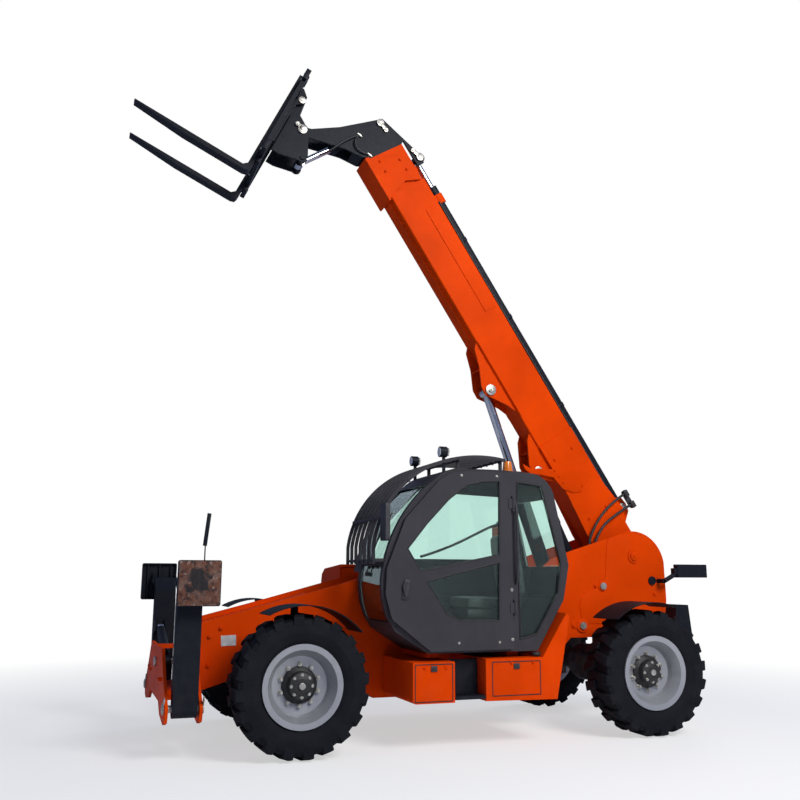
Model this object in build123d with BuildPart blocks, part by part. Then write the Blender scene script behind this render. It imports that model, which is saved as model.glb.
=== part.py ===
from build123d import *
import os
from math import cos, hypot, radians, sin

# A telescopic handler with a raised two-stage boom, a cab on its left side,
# four-wheel steering and two swing-down stabiliser legs at the front.
# Millimetres. +X forward, +Y to the machine's left, +Z up, floor at Z = 0.

# Running gear
FRONT_AXLE_X = 1520
WHEELBASE = 3438
REAR_AXLE_X = FRONT_AXLE_X - WHEELBASE
TYRE_RADIUS = 585
TYRE_HALF_WIDTH = 200
WHEEL_Y = 1040
KINGPIN_Y = 780
HUB_Z = TYRE_RADIUS
BEAD_RADIUS = 306
FLANGE_RADIUS = 342
RIM_HALF_WIDTH = 178
FENDER_RADIUS = 650
FENDER_ARC = {"front": (62, 139), "rear": (50, 112)}
STAY_Z = HUB_Z + 186

# Chassis
FRAME_Y = 380
PLATE = 25
BELLY_Z = 360
FRAME_NOSE_X = 2300
LIFT_BASE = (-1640, 984)
LEVEL_BASE = (-1900, 1385)
TOW_RADIUS = 18

# Boom
PIVOT_X = -2300
PIVOT_Z = 1700
BOOM_ANGLE = 57.0
BOOM_HALF_WIDTH = 140
BOOM_LOW_T = -185
BOOM_TOP_T = 290
BOOM_WALL = 8
BOOM_LENGTH = 4700
INNER_GAP = 7
INNER_START = 350
INNER_END = 5150
PIN_RADIUS = 45
PIN_CLEARANCE = 0.05
LIFT_EYE = (2320, -330)
LEVEL_EYE = (1300, -330)
EXTENSION_T = 385
EXTENSION_PIN_S = 4930
TILT_BASE = (5460, 171)
CARRIAGE_PIVOT = (5722, -705)
TILT_EYE = (5450, -870)

# Forks
FORK_ANGLE = 25.0
FORK_SPACING = 710
FORK_LENGTH = 1200

# Cab
CAB_IN_Y = 270
CAB_OUT_Y = 1170
CAB_WALL = 40
DOOR_THICKNESS = 40
PILLAR_X = -450
CAB_FLOOR_Z = 812
CAB_NOTCH_Y = 430
CAB_NOTCH_Z = 1520

# Stabilisers
LEG_X = 2440
LEG_PIVOT_Y = 930
LEG_PIVOT_Z = 420
FOOT_PIVOT_Y = 1030
FOOT_PIVOT_Z = 1420
STAB_BASE = (-60, 720)
STAB_EYE = (800, 975)
STAB_X = {1: 2400, -1: 2500}
STAB_PIN_X = {1: 2290, -1: 2455}
STAB_PIN_LENGTH = 155

cos_b = cos(radians(BOOM_ANGLE))
sin_b = sin(radians(BOOM_ANGLE))


def boom_point(s, t):
    """X and Z of a place given along the boom (s) and square to it, upwards (t)."""
    return (PIVOT_X + s * cos_b - t * sin_b, PIVOT_Z + s * sin_b + t * cos_b)


boom_side = Plane(origin=(PIVOT_X, 0, PIVOT_Z), x_dir=(cos_b, 0, sin_b), z_dir=(0, -1, 0))


def boom_section(s):
    """Plane square to the boom at s, with x across the machine and y up from the pivot line."""
    x, z = boom_point(s, 0)
    return Plane(origin=(x, 0, z), x_dir=(0, 1, 0), z_dir=(cos_b, 0, sin_b))


def side_plane(y):
    """Upright plane facing left at y, with sketch x forward and sketch y up."""
    return Plane(origin=(0, y, 0), x_dir=(1, 0, 0), z_dir=(0, -1, 0))


def line_plane(start, end, y=0):
    """Plane square to the line from start to end, both (x, z), centred on start."""
    dx = end[0] - start[0]
    dz = end[1] - start[1]
    run = hypot(dx, dz)
    return Plane(origin=(start[0], y, start[1]), x_dir=(0, 1, 0), z_dir=(dx / run, 0, dz / run))


def distance(start, end):
    return hypot(end[0] - start[0], end[1] - start[1])


def save(builder, label):
    builder.part.label = label
    export_step(builder.part, f"parts/{label}.step")


os.makedirs("parts", exist_ok=True)


# Wheels: a deep-well rim with a dished disc and planetary hub, and its tyre
def wheel_plane(x, side):
    """Sketch x runs outwards along the wheel's axis, sketch y is the radius."""
    return Plane(origin=(x, side * WHEEL_Y, HUB_Z), x_dir=(0, side, 0), z_dir=(-side, 0, 0))


def make_rim(x, side):
    axis = Axis((x, 0, HUB_Z), (0, side, 0))
    with BuildPart() as rim:
        with BuildSketch(wheel_plane(x, side)):
            with BuildLine():
                Polyline(
                    (-178, FLANGE_RADIUS), (-160, FLANGE_RADIUS), (-158, 306), (-70, 262), (70, 262),
                    (158, 306), (160, FLANGE_RADIUS), (178, FLANGE_RADIUS), (170, 294), (84, 250),
                    (40, 236), (22, 140), (6, 140), (20, 250), (-84, 250), (-170, 294), close=True,
                )
            make_face()
        revolve(axis=axis)
        with BuildSketch(wheel_plane(x, side)):
            with BuildLine():
                Polyline(
                    (-150, 62), (-150, 128), (-40, 150), (40, 150), (62, 116), (120, 106), (134, 60),
                    (134, 0), (-20, 0), (-20, 62), close=True,
                )
            make_face()
        revolve(axis=axis)
    return rim


def make_tyre(x, side):
    with BuildPart() as tyre:
        with BuildSketch(wheel_plane(x, side)):
            with BuildLine():
                outer = Polyline(
                    (-158, 306.5), (-159, 345), (-200, 430), (-190, 545), (-150, 579), (-60, 585),
                    (60, 585), (150, 579), (190, 545), (200, 430), (159, 345), (158, 306.5),
                )
                Polyline(outer @ 1, (70, 262.5), (-70, 262.5), outer @ 0)
            make_face()
        revolve(axis=Axis((x, 0, HUB_Z), (0, side, 0)))
    return tyre


# Knuckle: the steered housing between the axle's yoke ears, with the spindle the wheel turns on
def make_knuckle(x, side):
    with BuildPart() as knuckle:
        with BuildSketch(Plane.XY.offset(HUB_Z - 140)):
            with Locations((x, side * KINGPIN_Y)):
                Circle(82)
        extrude(amount=280)
        with BuildSketch(Plane.XY.offset(HUB_Z - 186)):
            with Locations((x, side * KINGPIN_Y)):
                Circle(28)
        extrude(amount=372)
        with BuildSketch(Plane(origin=(x, side * KINGPIN_Y, HUB_Z), x_dir=(1, 0, 0), z_dir=(0, side, 0))):
            Circle(96)
        extrude(amount=104)
        with BuildSketch(Plane(origin=(x, side * KINGPIN_Y, HUB_Z), x_dir=(1, 0, 0), z_dir=(0, side, 0))):
            Circle(62 - PIN_CLEARANCE)
        extrude(amount=230)
    return knuckle


# Fender: an arched guard over the tyre on a tube stay from the knuckle
def make_fender(x, side, low, high):
    outer_y = side * (WHEEL_Y + 215)
    with BuildPart() as fender:
        with BuildSketch(side_plane(outer_y)):
            with BuildLine():
                CenterArc((x, HUB_Z), FENDER_RADIUS + 8, low, high - low)
                CenterArc((x, HUB_Z), FENDER_RADIUS, low, high - low)
                for angle in (low, high):
                    a = radians(angle)
                    Line(
                        (x + FENDER_RADIUS * cos(a), HUB_Z + FENDER_RADIUS * sin(a)),
                        (x + (FENDER_RADIUS + 8) * cos(a), HUB_Z + (FENDER_RADIUS + 8) * sin(a)),
                    )
            make_face()
        extrude(amount=side * 430)
        with BuildSketch(Plane.XY.offset(STAY_Z)):
            with Locations((x, side * (KINGPIN_Y + 14))):
                Rectangle(84, 104)
        extrude(amount=14)
        with BuildSketch(Plane.XY.offset(STAY_Z)):
            with Locations((x, side * (KINGPIN_Y + 46))):
                Rectangle(64, 20)
        extrude(amount=FENDER_RADIUS + HUB_Z - STAY_Z + 2)
    return fender


for end, axle_x in (("front", FRONT_AXLE_X), ("rear", REAR_AXLE_X)):
    for hand, side in (("left", 1), ("right", -1)):
        save(make_rim(axle_x, side), f"{end}_{hand}_wheel")
        save(make_tyre(axle_x, side), f"{end}_{hand}_tyre")
        save(make_knuckle(axle_x, side), f"{end}_{hand}_knuckle")
        save(make_fender(axle_x, side, *FENDER_ARC[end]), f"{end}_{hand}_fender")


# Axles: a tube with a bulged differential case, yoke ears at each end and saddles under the frame
def make_axle(x, saddle_top):
    with BuildPart() as axle:
        with BuildSketch(Plane(origin=(x, -640, HUB_Z), x_dir=(1, 0, 0), z_dir=(0, 1, 0))):
            Circle(88)
        extrude(amount=1280)
        with BuildSketch(Plane(origin=(x, 0, HUB_Z), x_dir=(0, 1, 0), z_dir=(-1, 0, 0))):
            with BuildLine():
                edge = Polyline((-330, 88), (-190, 140), (-70, 188), (70, 188), (190, 140), (330, 88))
                Polyline(edge @ 1, (330, 0), (-330, 0), edge @ 0)
            make_face()
        revolve(axis=Axis((x, 0, HUB_Z), (0, 1, 0)))
        for side in (1, -1):
            for low in (HUB_Z - 180, HUB_Z + 146):
                with BuildSketch(Plane.XY.offset(low)):
                    with BuildLine():
                        Polyline(
                            (x - 90, side * 600), (x - 72, side * KINGPIN_Y), (x + 72, side * KINGPIN_Y),
                            (x + 90, side * 600), close=True,
                        )
                    make_face()
                    with Locations((x, side * KINGPIN_Y)):
                        Circle(72)
                extrude(amount=34)
            with BuildSketch(Plane.XY.offset(HUB_Z - 180)):
                with Locations((x, side * 625)):
                    Rectangle(180, 50)
            extrude(amount=360)
            with BuildSketch(Plane.XY.offset(HUB_Z - 181)):
                with Locations((x, side * KINGPIN_Y)):
                    Circle(28 + PIN_CLEARANCE)
            extrude(amount=362, mode=Mode.SUBTRACT)
            with BuildSketch(Plane.XY.offset(HUB_Z + 40)):
                with Locations((x, side * (FRAME_Y - PLATE / 2))):
                    Rectangle(260, 90)
            extrude(amount=saddle_top - HUB_Z - 40)
    return axle


ARCH_TOP = 800
REAR_ARCH_TOP = 865
save(make_axle(FRONT_AXLE_X, ARCH_TOP), "front_axle")
save(make_axle(REAR_AXLE_X, REAR_ARCH_TOP), "rear_axle")


# Chassis frame: two long side plates joined by a belly plate and cross tubes
with BuildPart() as chassis_frame:
    for y in (FRAME_Y - PLATE, -FRAME_Y):
        with BuildSketch(side_plane(y + PLATE)):
            with BuildLine():
                Polyline(
                    (FRAME_NOSE_X, 470), (FRAME_NOSE_X, 1060), (1621, 1233), (774, 1460),
                    (420, 1460), (200, 1330), (-900, 1330), (-1300, 1660), (-1520, 1740),
                    (-1974, 1878), (-2180, 1945),
                )
                ThreePointArc((-2180, 1945), (-2480, 1925), (-2690, 1640))
                Polyline(
                    (-2690, 1640), (-2700, 1235), (-2620, 760), (-2300, 760), (-2200, REAR_ARCH_TOP),
                    (-1500, REAR_ARCH_TOP), (-1250, 620), (-1180, BELLY_Z), (640, BELLY_Z),
                    (900, 560), (1180, ARCH_TOP), (1880, ARCH_TOP), (2000, 560), (FRAME_NOSE_X, 470),
                )
            make_face()
        extrude(amount=PLATE)
    with BuildSketch(Plane.XY.offset(BELLY_Z)):
        with Locations((-270, 0)):
            Rectangle(1820, 2 * FRAME_Y - PLATE)
    extrude(amount=16)
    for x, z, r in ((1150, 950, 55), (2150, 640, 60), (300, 560, 55), (-1000, 560, 55), (-2560, 1000, 60)):
        with BuildSketch(side_plane(FRAME_Y - PLATE / 2)):
            with Locations((x, z)):
                Circle(r)
        extrude(amount=2 * FRAME_Y - PLATE)
    for x, z, r in ((LIFT_BASE[0], LIFT_BASE[1], 85), (LEVEL_BASE[0], LEVEL_BASE[1], 65)):
        for y in (FRAME_Y - PLATE, -92):
            with BuildSketch(side_plane(y)):
                with Locations((x, z)):
                    Circle(r)
            extrude(amount=FRAME_Y - PLATE - 92)
        with BuildSketch(side_plane(FRAME_Y)):
            with Locations((x, z)):
                Circle(36)
        extrude(amount=2 * FRAME_Y, mode=Mode.SUBTRACT)
    for y in (FRAME_Y + 18, -FRAME_Y):
        with BuildSketch(side_plane(y)):
            with Locations((PIVOT_X, PIVOT_Z)):
                Circle(72)
        extrude(amount=18)
    with BuildSketch(side_plane(FRAME_Y + 30)):
        with Locations((PIVOT_X, PIVOT_Z)):
            Circle(PIN_RADIUS)
    extrude(amount=2 * FRAME_Y + 60, mode=Mode.SUBTRACT)
    for x, y in ((-520, 700), (280, 700)):
        with BuildSketch(Plane.XY.offset(CAB_FLOOR_Z - 50)):
            with Locations((x, y - 20)):
                Rectangle(120, 600)
        extrude(amount=50)
save(chassis_frame, "chassis_frame")

with BuildPart() as counterweight:
    with BuildSketch(side_plane(560)):
        Polygon((-2880, 800), (-2840, 1190), (-2692.5, 1190), (-2628.5, 810), align=None)
    extrude(amount=1120)
    with BuildSketch(Plane.XY.offset(880)):
        with Locations((-2900, 0)):
            Rectangle(120, 110)
        with Locations((-2910, 0)):
            Circle(TOW_RADIUS, mode=Mode.SUBTRACT)
    extrude(amount=30)
save(counterweight, "counterweight")

with BuildPart() as front_deck:
    with BuildSketch(side_plane(FRAME_Y - PLATE)):
        Polygon((1180, 1300), (1621, 1176), (2280, 1010), (2280, 1022), (1624, 1188), (1182, 1312), align=None)
    extrude(amount=2 * (FRAME_Y - PLATE))
save(front_deck, "front_deck")


# Front beam: two bow-shaped plates that carry the stabiliser legs between their ends
BEAM_REAR_X = FRAME_NOSE_X
BEAM_FRONT_X = 2600
BEAM_PLATE = 25
with BuildPart() as front_beam:
    for x in (BEAM_REAR_X, BEAM_FRONT_X - BEAM_PLATE):
        with BuildSketch(Plane(origin=(x, 0, 0), x_dir=(0, 1, 0), z_dir=(1, 0, 0))):
            with BuildLine():
                Polyline(
                    (-LEG_PIVOT_Y - 100, LEG_PIVOT_Z), (-780, 620), (-520, 860), (520, 860), (780, 620),
                    (LEG_PIVOT_Y + 100, LEG_PIVOT_Z), (LEG_PIVOT_Y + 60, 320), (LEG_PIVOT_Y - 60, 290),
                    (560, 330), (400, 420), (-400, 420), (-560, 330), (-LEG_PIVOT_Y + 60, 290),
                    (-LEG_PIVOT_Y - 60, 320), close=True,
                )
            make_face()
        extrude(amount=BEAM_PLATE)
    with BuildSketch(Plane(origin=(BEAM_REAR_X + BEAM_PLATE, 0, 0), x_dir=(0, 1, 0), z_dir=(1, 0, 0))):
        with Locations((0, 460)):
            Rectangle(760, 80)
        with Locations((0, 848)):
            Rectangle(240, 24)
    extrude(amount=BEAM_FRONT_X - BEAM_REAR_X - 2 * BEAM_PLATE)
    for side in (1, -1):
        with BuildSketch(Plane(origin=(BEAM_REAR_X, 0, 0), x_dir=(0, 1, 0), z_dir=(1, 0, 0))):
            with Locations((side * LEG_PIVOT_Y, LEG_PIVOT_Z)):
                Circle(30)
        extrude(amount=BEAM_FRONT_X - BEAM_REAR_X, mode=Mode.SUBTRACT)
        with BuildSketch(Plane(origin=(STAB_PIN_X[side], 0, 0), x_dir=(0, 1, 0), z_dir=(1, 0, 0))):
            with Locations((side * STAB_BASE[0], STAB_BASE[1])):
                Circle(30)
        extrude(amount=STAB_PIN_LENGTH, mode=Mode.SUBTRACT)
save(front_beam, "front_beam")

with BuildPart() as frame_pins:
    for centre, radius in (((PIVOT_X, PIVOT_Z), PIN_RADIUS), (LIFT_BASE, 36), (LEVEL_BASE, 36)):
        with BuildSketch(side_plane(FRAME_Y + 30)):
            with Locations(centre):
                Circle(radius)
        extrude(amount=2 * FRAME_Y + 60)
    for side in (1, -1):
        with BuildSketch(Plane(origin=(BEAM_REAR_X, 0, 0), x_dir=(0, 1, 0), z_dir=(1, 0, 0))):
            with Locations((side * LEG_PIVOT_Y, LEG_PIVOT_Z)):
                Circle(30)
        extrude(amount=BEAM_FRONT_X - BEAM_REAR_X + 20)
        with BuildSketch(Plane(origin=(STAB_PIN_X[side], 0, 0), x_dir=(0, 1, 0), z_dir=(1, 0, 0))):
            with Locations((side * STAB_BASE[0], STAB_BASE[1])):
                Circle(30)
        extrude(amount=STAB_PIN_LENGTH)
save(frame_pins, "frame_pins")


# Stabiliser legs: box arms that swing down about a fore-and-aft pin, with a tilting foot
LEG_HALF_X = 100
LEG_HALF_Y = 75


def make_leg(side):
    x = LEG_X if side > 0 else LEG_X + 20
    face = Plane(origin=(x - LEG_HALF_X, 0, 0), x_dir=(0, 1, 0), z_dir=(1, 0, 0))
    with BuildPart() as leg:
        with BuildSketch(face):
            with BuildLine():
                Polyline(
                    (side * (LEG_PIVOT_Y - LEG_HALF_Y), LEG_PIVOT_Z), (side * (LEG_PIVOT_Y - LEG_HALF_Y), 1330),
                    (side * (FOOT_PIVOT_Y - 45), FOOT_PIVOT_Z + 20), (side * (FOOT_PIVOT_Y + 40), FOOT_PIVOT_Z),
                    (side * (LEG_PIVOT_Y + LEG_HALF_Y), 1290), (side * (LEG_PIVOT_Y + LEG_HALF_Y), LEG_PIVOT_Z),
                    close=True,
                )
            make_face()
            with Locations((side * LEG_PIVOT_Y, LEG_PIVOT_Z)):
                Circle(LEG_HALF_Y)
            with Locations((side * FOOT_PIVOT_Y, FOOT_PIVOT_Z)):
                Circle(42)
        extrude(amount=2 * LEG_HALF_X)
        with BuildSketch(face):
            with Locations((side * LEG_PIVOT_Y, LEG_PIVOT_Z)):
                Circle(30 + PIN_CLEARANCE)
            with Locations((side * FOOT_PIVOT_Y, FOOT_PIVOT_Z)):
                Circle(20 + PIN_CLEARANCE)
        extrude(amount=2 * LEG_HALF_X, mode=Mode.SUBTRACT)
        for lug_x in (STAB_X[side] - 60, STAB_X[side] + 40):
            with BuildSketch(Plane(origin=(lug_x, 0, 0), x_dir=(0, 1, 0), z_dir=(1, 0, 0))):
                Polygon(
                    (side * (LEG_PIVOT_Y - LEG_HALF_Y + 2), 900), (side * (LEG_PIVOT_Y - LEG_HALF_Y + 2), 1060),
                    (side * (LEG_PIVOT_Y - LEG_HALF_Y - 72), 1010), (side * (LEG_PIVOT_Y - LEG_HALF_Y - 72), 940),
                    align=None,
                )
            extrude(amount=20)
    return leg


def make_foot(side):
    x = LEG_X if side > 0 else LEG_X + 20
    centre = x - side * 50
    sole_y = FOOT_PIVOT_Y + 120
    with BuildPart() as foot:
        with BuildSketch(Plane(origin=(centre, side * (sole_y - 14), FOOT_PIVOT_Z), x_dir=(1, 0, 0), z_dir=(0, side, 0))):
            RectangleRounded(350, 370, 18)
        extrude(amount=14)
        with BuildSketch(Plane(origin=(centre, side * (sole_y - 50), FOOT_PIVOT_Z), x_dir=(1, 0, 0), z_dir=(0, side, 0))):
            RectangleRounded(350, 370, 18)
            RectangleRounded(326, 346, 8, mode=Mode.SUBTRACT)
        extrude(amount=36)
        for start in (x - LEG_HALF_X - 6 - 16, x + LEG_HALF_X + 6):
            with BuildSketch(Plane(origin=(start, 0, 0), x_dir=(0, 1, 0), z_dir=(1, 0, 0))):
                Polygon(
                    (side * (sole_y - 14), FOOT_PIVOT_Z - 90), (side * (sole_y - 14), FOOT_PIVOT_Z + 90),
                    (side * (FOOT_PIVOT_Y + 10), FOOT_PIVOT_Z + 36), (side * (FOOT_PIVOT_Y - 30), FOOT_PIVOT_Z + 20),
                    (side * (FOOT_PIVOT_Y - 30), FOOT_PIVOT_Z - 20), (side * (FOOT_PIVOT_Y + 10), FOOT_PIVOT_Z - 36),
                    align=None,
                )
            extrude(amount=16)
        with BuildSketch(Plane(origin=(x - LEG_HALF_X - 30, 0, 0), x_dir=(0, 1, 0), z_dir=(1, 0, 0))):
            with Locations((side * FOOT_PIVOT_Y, FOOT_PIVOT_Z)):
                Circle(20)
        extrude(amount=2 * LEG_HALF_X + 60)
    return foot


def stab_plane(side, x):
    """Square to the stabiliser cylinder's line at its lower pin."""
    dy = side * (STAB_EYE[0] - STAB_BASE[0])
    dz = STAB_EYE[1] - STAB_BASE[1]
    run = hypot(dy, dz)
    return Plane(origin=(x, side * STAB_BASE[0], STAB_BASE[1]), x_dir=(1, 0, 0), z_dir=(0, dy / run, dz / run))


def make_stab_barrel(side):
    x = STAB_X[side]
    with BuildPart() as barrel:
        with BuildSketch(stab_plane(side, x).offset(40)):
            Circle(40)
        extrude(amount=780)
        with BuildSketch(Plane(origin=(x - 30, side * STAB_BASE[0], STAB_BASE[1]), x_dir=(0, 1, 0), z_dir=(1, 0, 0))):
            Circle(48)
        extrude(amount=60)
        with BuildSketch(stab_plane(side, x).offset(60)):
            Circle(20 + PIN_CLEARANCE)
        extrude(amount=800, mode=Mode.SUBTRACT)
        with BuildSketch(Plane(origin=(x - 40, side * STAB_BASE[0], STAB_BASE[1]), x_dir=(0, 1, 0), z_dir=(1, 0, 0))):
            Circle(30 + PIN_CLEARANCE)
        extrude(amount=80, mode=Mode.SUBTRACT)
    return barrel


def make_stab_rod(side):
    x = STAB_X[side]
    run = distance(STAB_BASE, STAB_EYE)
    with BuildPart() as rod:
        with BuildSketch(stab_plane(side, x).offset(70)):
            Circle(20)
        extrude(amount=run - 90)
        with BuildSketch(Plane(origin=(x - 28, side * STAB_EYE[0], STAB_EYE[1]), x_dir=(0, 1, 0), z_dir=(1, 0, 0))):
            Circle(30)
        extrude(amount=56)
    return rod


for hand, side in (("left", 1), ("right", -1)):
    save(make_leg(side), f"stabiliser_leg_{hand}")
    save(make_foot(side), f"stabiliser_foot_{hand}")
    save(make_stab_barrel(side), f"stabiliser_barrel_{hand}")
    save(make_stab_rod(side), f"stabiliser_rod_{hand}")


# Boom: a hollow outer box with bolted nose collar, cylinder bracket plates and pivot tube
boom_mid_t = (BOOM_TOP_T + BOOM_LOW_T) / 2
boom_height = BOOM_TOP_T - BOOM_LOW_T
with BuildPart() as boom_base:
    with BuildSketch(boom_section(140)):
        with Locations((0, boom_mid_t)):
            RectangleRounded(2 * BOOM_HALF_WIDTH, boom_height, 14)
    extrude(amount=BOOM_LENGTH - 140)
    for y in (BOOM_HALF_WIDTH + 14, -BOOM_HALF_WIDTH):
        with BuildSketch(boom_side.offset(-y)):
            with BuildLine():
                Polyline(
                    (150, 210), (60, 250), (-90, 60), (-110, -20), (-60, -120), (120, -220),
                    (420, -225), (900, -182), (1500, -182), (1500, 285), (760, 285), (420, 340),
                    close=True,
                )
            make_face()
        extrude(amount=14)
    with BuildSketch(boom_section(60)):
        with Locations((0, 0)):
            Rectangle(2 * BOOM_HALF_WIDTH, 240)
    extrude(amount=90)
    with BuildSketch(boom_side.offset(-345)):
        Circle(100)
    extrude(amount=690)
    with BuildSketch(boom_section(148)):
        with Locations((0, boom_mid_t)):
            RectangleRounded(2 * (BOOM_HALF_WIDTH - BOOM_WALL), boom_height - 2 * BOOM_WALL, 8)
    extrude(amount=BOOM_LENGTH, mode=Mode.SUBTRACT)
    for y in (BOOM_HALF_WIDTH + 20, -BOOM_HALF_WIDTH):
        with BuildSketch(boom_side.offset(-y)):
            with BuildLine():
                Polyline(
                    (4640, -235), (5165, -235), (5020, 170), (4950, 235), (4820, 262), (4700, 235),
                    (4760, 60), (4700, -120), close=True,
                )
            make_face()
        extrude(amount=20)
    with BuildSketch(boom_section(4640)):
        with Locations((0, -225)):
            Rectangle(2 * BOOM_HALF_WIDTH + 40, 20)
    extrude(amount=525)
    with BuildSketch(boom_section(4690)):
        with Locations((0, -200)):
            Rectangle(2 * BOOM_HALF_WIDTH + 10, 34)
    extrude(amount=475)
    for y in (117, -95):
        with BuildSketch(boom_side.offset(-y)):
            with BuildLine():
                Polyline(
                    (1950, -180), (2850, -180), (2790, -240), (2600, -300), (2400, -400),
                    (2300, -405), (2230, -350), (2080, -240), close=True,
                )
            make_face()
        extrude(amount=22)
        with BuildSketch(boom_side.offset(-y)):
            with BuildLine():
                Polyline(
                    (1050, -180), (1700, -180), (1640, -250), (1400, -385), (1290, -395),
                    (1220, -350), close=True,
                )
            make_face()
        extrude(amount=22)
    with BuildSketch(boom_section(2560)):
        with Locations((0, -250)):
            Rectangle(190, 140)
    extrude(amount=16)
    with BuildSketch(boom_section(1500)):
        with Locations((0, -240)):
            Rectangle(190, 120)
    extrude(amount=16)
    for y in (BOOM_HALF_WIDTH + 8, -BOOM_HALF_WIDTH):
        with BuildSketch(boom_side.offset(-y)):
            with BuildLine():
                Polyline((2840, -178), (1900, -178), (1960, -60))
                ThreePointArc((1960, -60), (2200, 90), (2480, 60))
                ThreePointArc((2480, 60), (2700, -40), (2840, -178))
            make_face()
            Polygon((3080, 100), (4380, 100), (4380, 250), (4340, 270), (3120, 270), (3080, 250), align=None)
        extrude(amount=8)
    with BuildSketch(boom_section(2900)):
        with Locations((0, BOOM_LOW_T - 8)):
            Rectangle(130, 20)
            Rectangle(110, 20, mode=Mode.SUBTRACT)
        with Locations((0, BOOM_LOW_T - 15)):
            Rectangle(130, 6)
    extrude(amount=1740)
    for y in (72, -52):
        with BuildSketch(boom_side.offset(-y)):
            Polygon((220, 285), (560, 285), (520, 430), (420, 450), (330, 430), align=None)
            with Locations((420, EXTENSION_T)):
                Circle(55)
        extrude(amount=20)
    with BuildSketch(boom_side.offset(-80)):
        with Locations((420, EXTENSION_T)):
            Circle(28)
    extrude(amount=160)
    with BuildSketch(boom_section(4380)):
        with Locations((0, 330)):
            Rectangle(120, 90)
        with Locations((0, EXTENSION_T)):
            Circle(72)
        with Locations((0, EXTENSION_T)):
            Circle(52.3, mode=Mode.SUBTRACT)
    extrude(amount=110)
    with BuildSketch(boom_side.offset(-360)):
        Circle(PIN_RADIUS + PIN_CLEARANCE)
    extrude(amount=720, mode=Mode.SUBTRACT)
save(boom_base, "boom_base")

with BuildPart() as extension_barrel:
    with BuildSketch(boom_section(455)):
        with Locations((0, EXTENSION_T)):
            Circle(52)
    extrude(amount=4570 - 455)
    with BuildSketch(boom_section(4500)):
        with Locations((0, EXTENSION_T)):
            Circle(60)
    extrude(amount=90)
    with BuildSketch(boom_side.offset(-30)):
        with Locations((420, EXTENSION_T)):
            Circle(52)
    extrude(amount=60)
    with BuildSketch(boom_side.offset(-30)):
        with Locations((420, EXTENSION_T)):
            Circle(28.2)
    extrude(amount=60, mode=Mode.SUBTRACT)
    with BuildSketch(boom_section(700)):
        with Locations((0, EXTENSION_T)):
            Circle(35)
    extrude(amount=4000, mode=Mode.SUBTRACT)
save(extension_barrel, "extension_barrel")

inner_half_width = BOOM_HALF_WIDTH - BOOM_WALL - INNER_GAP
inner_height = boom_height - 2 * BOOM_WALL - 2 * INNER_GAP
with BuildPart() as boom_inner:
    with BuildSketch(boom_section(INNER_START)):
        with Locations((0, boom_mid_t)):
            RectangleRounded(2 * inner_half_width, inner_height, 12)
            RectangleRounded(2 * inner_half_width - 14, inner_height - 14, 6, mode=Mode.SUBTRACT)
    extrude(amount=INNER_END - INNER_START)
save(boom_inner, "boom_inner")

HEAD_PLATE = 25
HEAD_IN_Y = 95
with BuildPart() as boom_head:
    for y in (HEAD_IN_Y + HEAD_PLATE, -HEAD_IN_Y):
        with BuildSketch(boom_side.offset(-y)):
            with BuildLine():
                Polyline(
                    (4860, 312), (4860, 400), (4900, 412), (4955, 412), (5492, 225), (5597, -284),
                    (5700, -590), (5790, -705),
                )
                ThreePointArc((5790, -705), (5722, -775), (5654, -705))
                Polyline(
                    (5654, -705), (5500, -520), (5360, -360), (5200, -235), (5172, -180),
                    (5172, 312), (4860, 312),
                )
            make_face()
            with Locations(CARRIAGE_PIVOT):
                Circle(70)
            with Locations((EXTENSION_PIN_S, EXTENSION_T)):
                Circle(58)
            with Locations(CARRIAGE_PIVOT, TILT_BASE, (EXTENSION_PIN_S, EXTENSION_T)):
                Circle(28, mode=Mode.SUBTRACT)
        extrude(amount=HEAD_PLATE)
    with BuildSketch(boom_section(INNER_END)):
        with Locations((0, boom_mid_t)):
            Rectangle(2 * inner_half_width, inner_height)
    extrude(amount=22)
    with BuildSketch(boom_side.offset(-HEAD_IN_Y)):
        Polygon((5180, 330), (5380, 260), (5373, 241), (5173, 311), align=None)
    extrude(amount=2 * HEAD_IN_Y)
    with BuildSketch(boom_side.offset(-HEAD_IN_Y)):
        Polygon((5172, -180), (5200, -235), (5290, -305), (5302, -290), (5215, -215), (5200, -160), align=None)
    extrude(amount=2 * HEAD_IN_Y)
    for centre in (TILT_BASE, (EXTENSION_PIN_S, EXTENSION_T)):
        with BuildSketch(boom_side.offset(-HEAD_IN_Y - HEAD_PLATE - 12)):
            with Locations(centre):
                Circle(28)
        extrude(amount=2 * (HEAD_IN_Y + HEAD_PLATE + 12))
save(boom_head, "boom_head")

with BuildPart() as extension_rod:
    with BuildSketch(boom_section(800)):
        with Locations((0, EXTENSION_T)):
            Circle(34.95)
    extrude(amount=EXTENSION_PIN_S - 40 - 800)
    with BuildSketch(boom_side.offset(-32)):
        with Locations((EXTENSION_PIN_S, EXTENSION_T)):
            Circle(54)
            Circle(28.2, mode=Mode.SUBTRACT)
    extrude(amount=64)
save(extension_rod, "extension_rod")


# Hydraulic cylinders between two pins given in the XZ plane
def make_barrel(base, eye, pin, eye_half, radius, bore, length, start):
    square = line_plane(base, eye)
    with BuildPart() as barrel:
        with BuildSketch(square.offset(pin + 6)):
            Circle(radius)
        extrude(amount=length - pin - 6)
        with BuildSketch(square.offset(length - 70)):
            Circle(radius + 8)
        extrude(amount=70)
        with BuildSketch(side_plane(eye_half)):
            with Locations(base):
                Circle(pin + 28)
        extrude(amount=2 * eye_half)
        with BuildSketch(square.offset(start)):
            Circle(bore + PIN_CLEARANCE)
        extrude(amount=length - start + 10, mode=Mode.SUBTRACT)
        with BuildSketch(side_plane(eye_half + 5)):
            with Locations(base):
                Circle(pin + PIN_CLEARANCE)
        extrude(amount=2 * eye_half + 10, mode=Mode.SUBTRACT)
    return barrel


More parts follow.
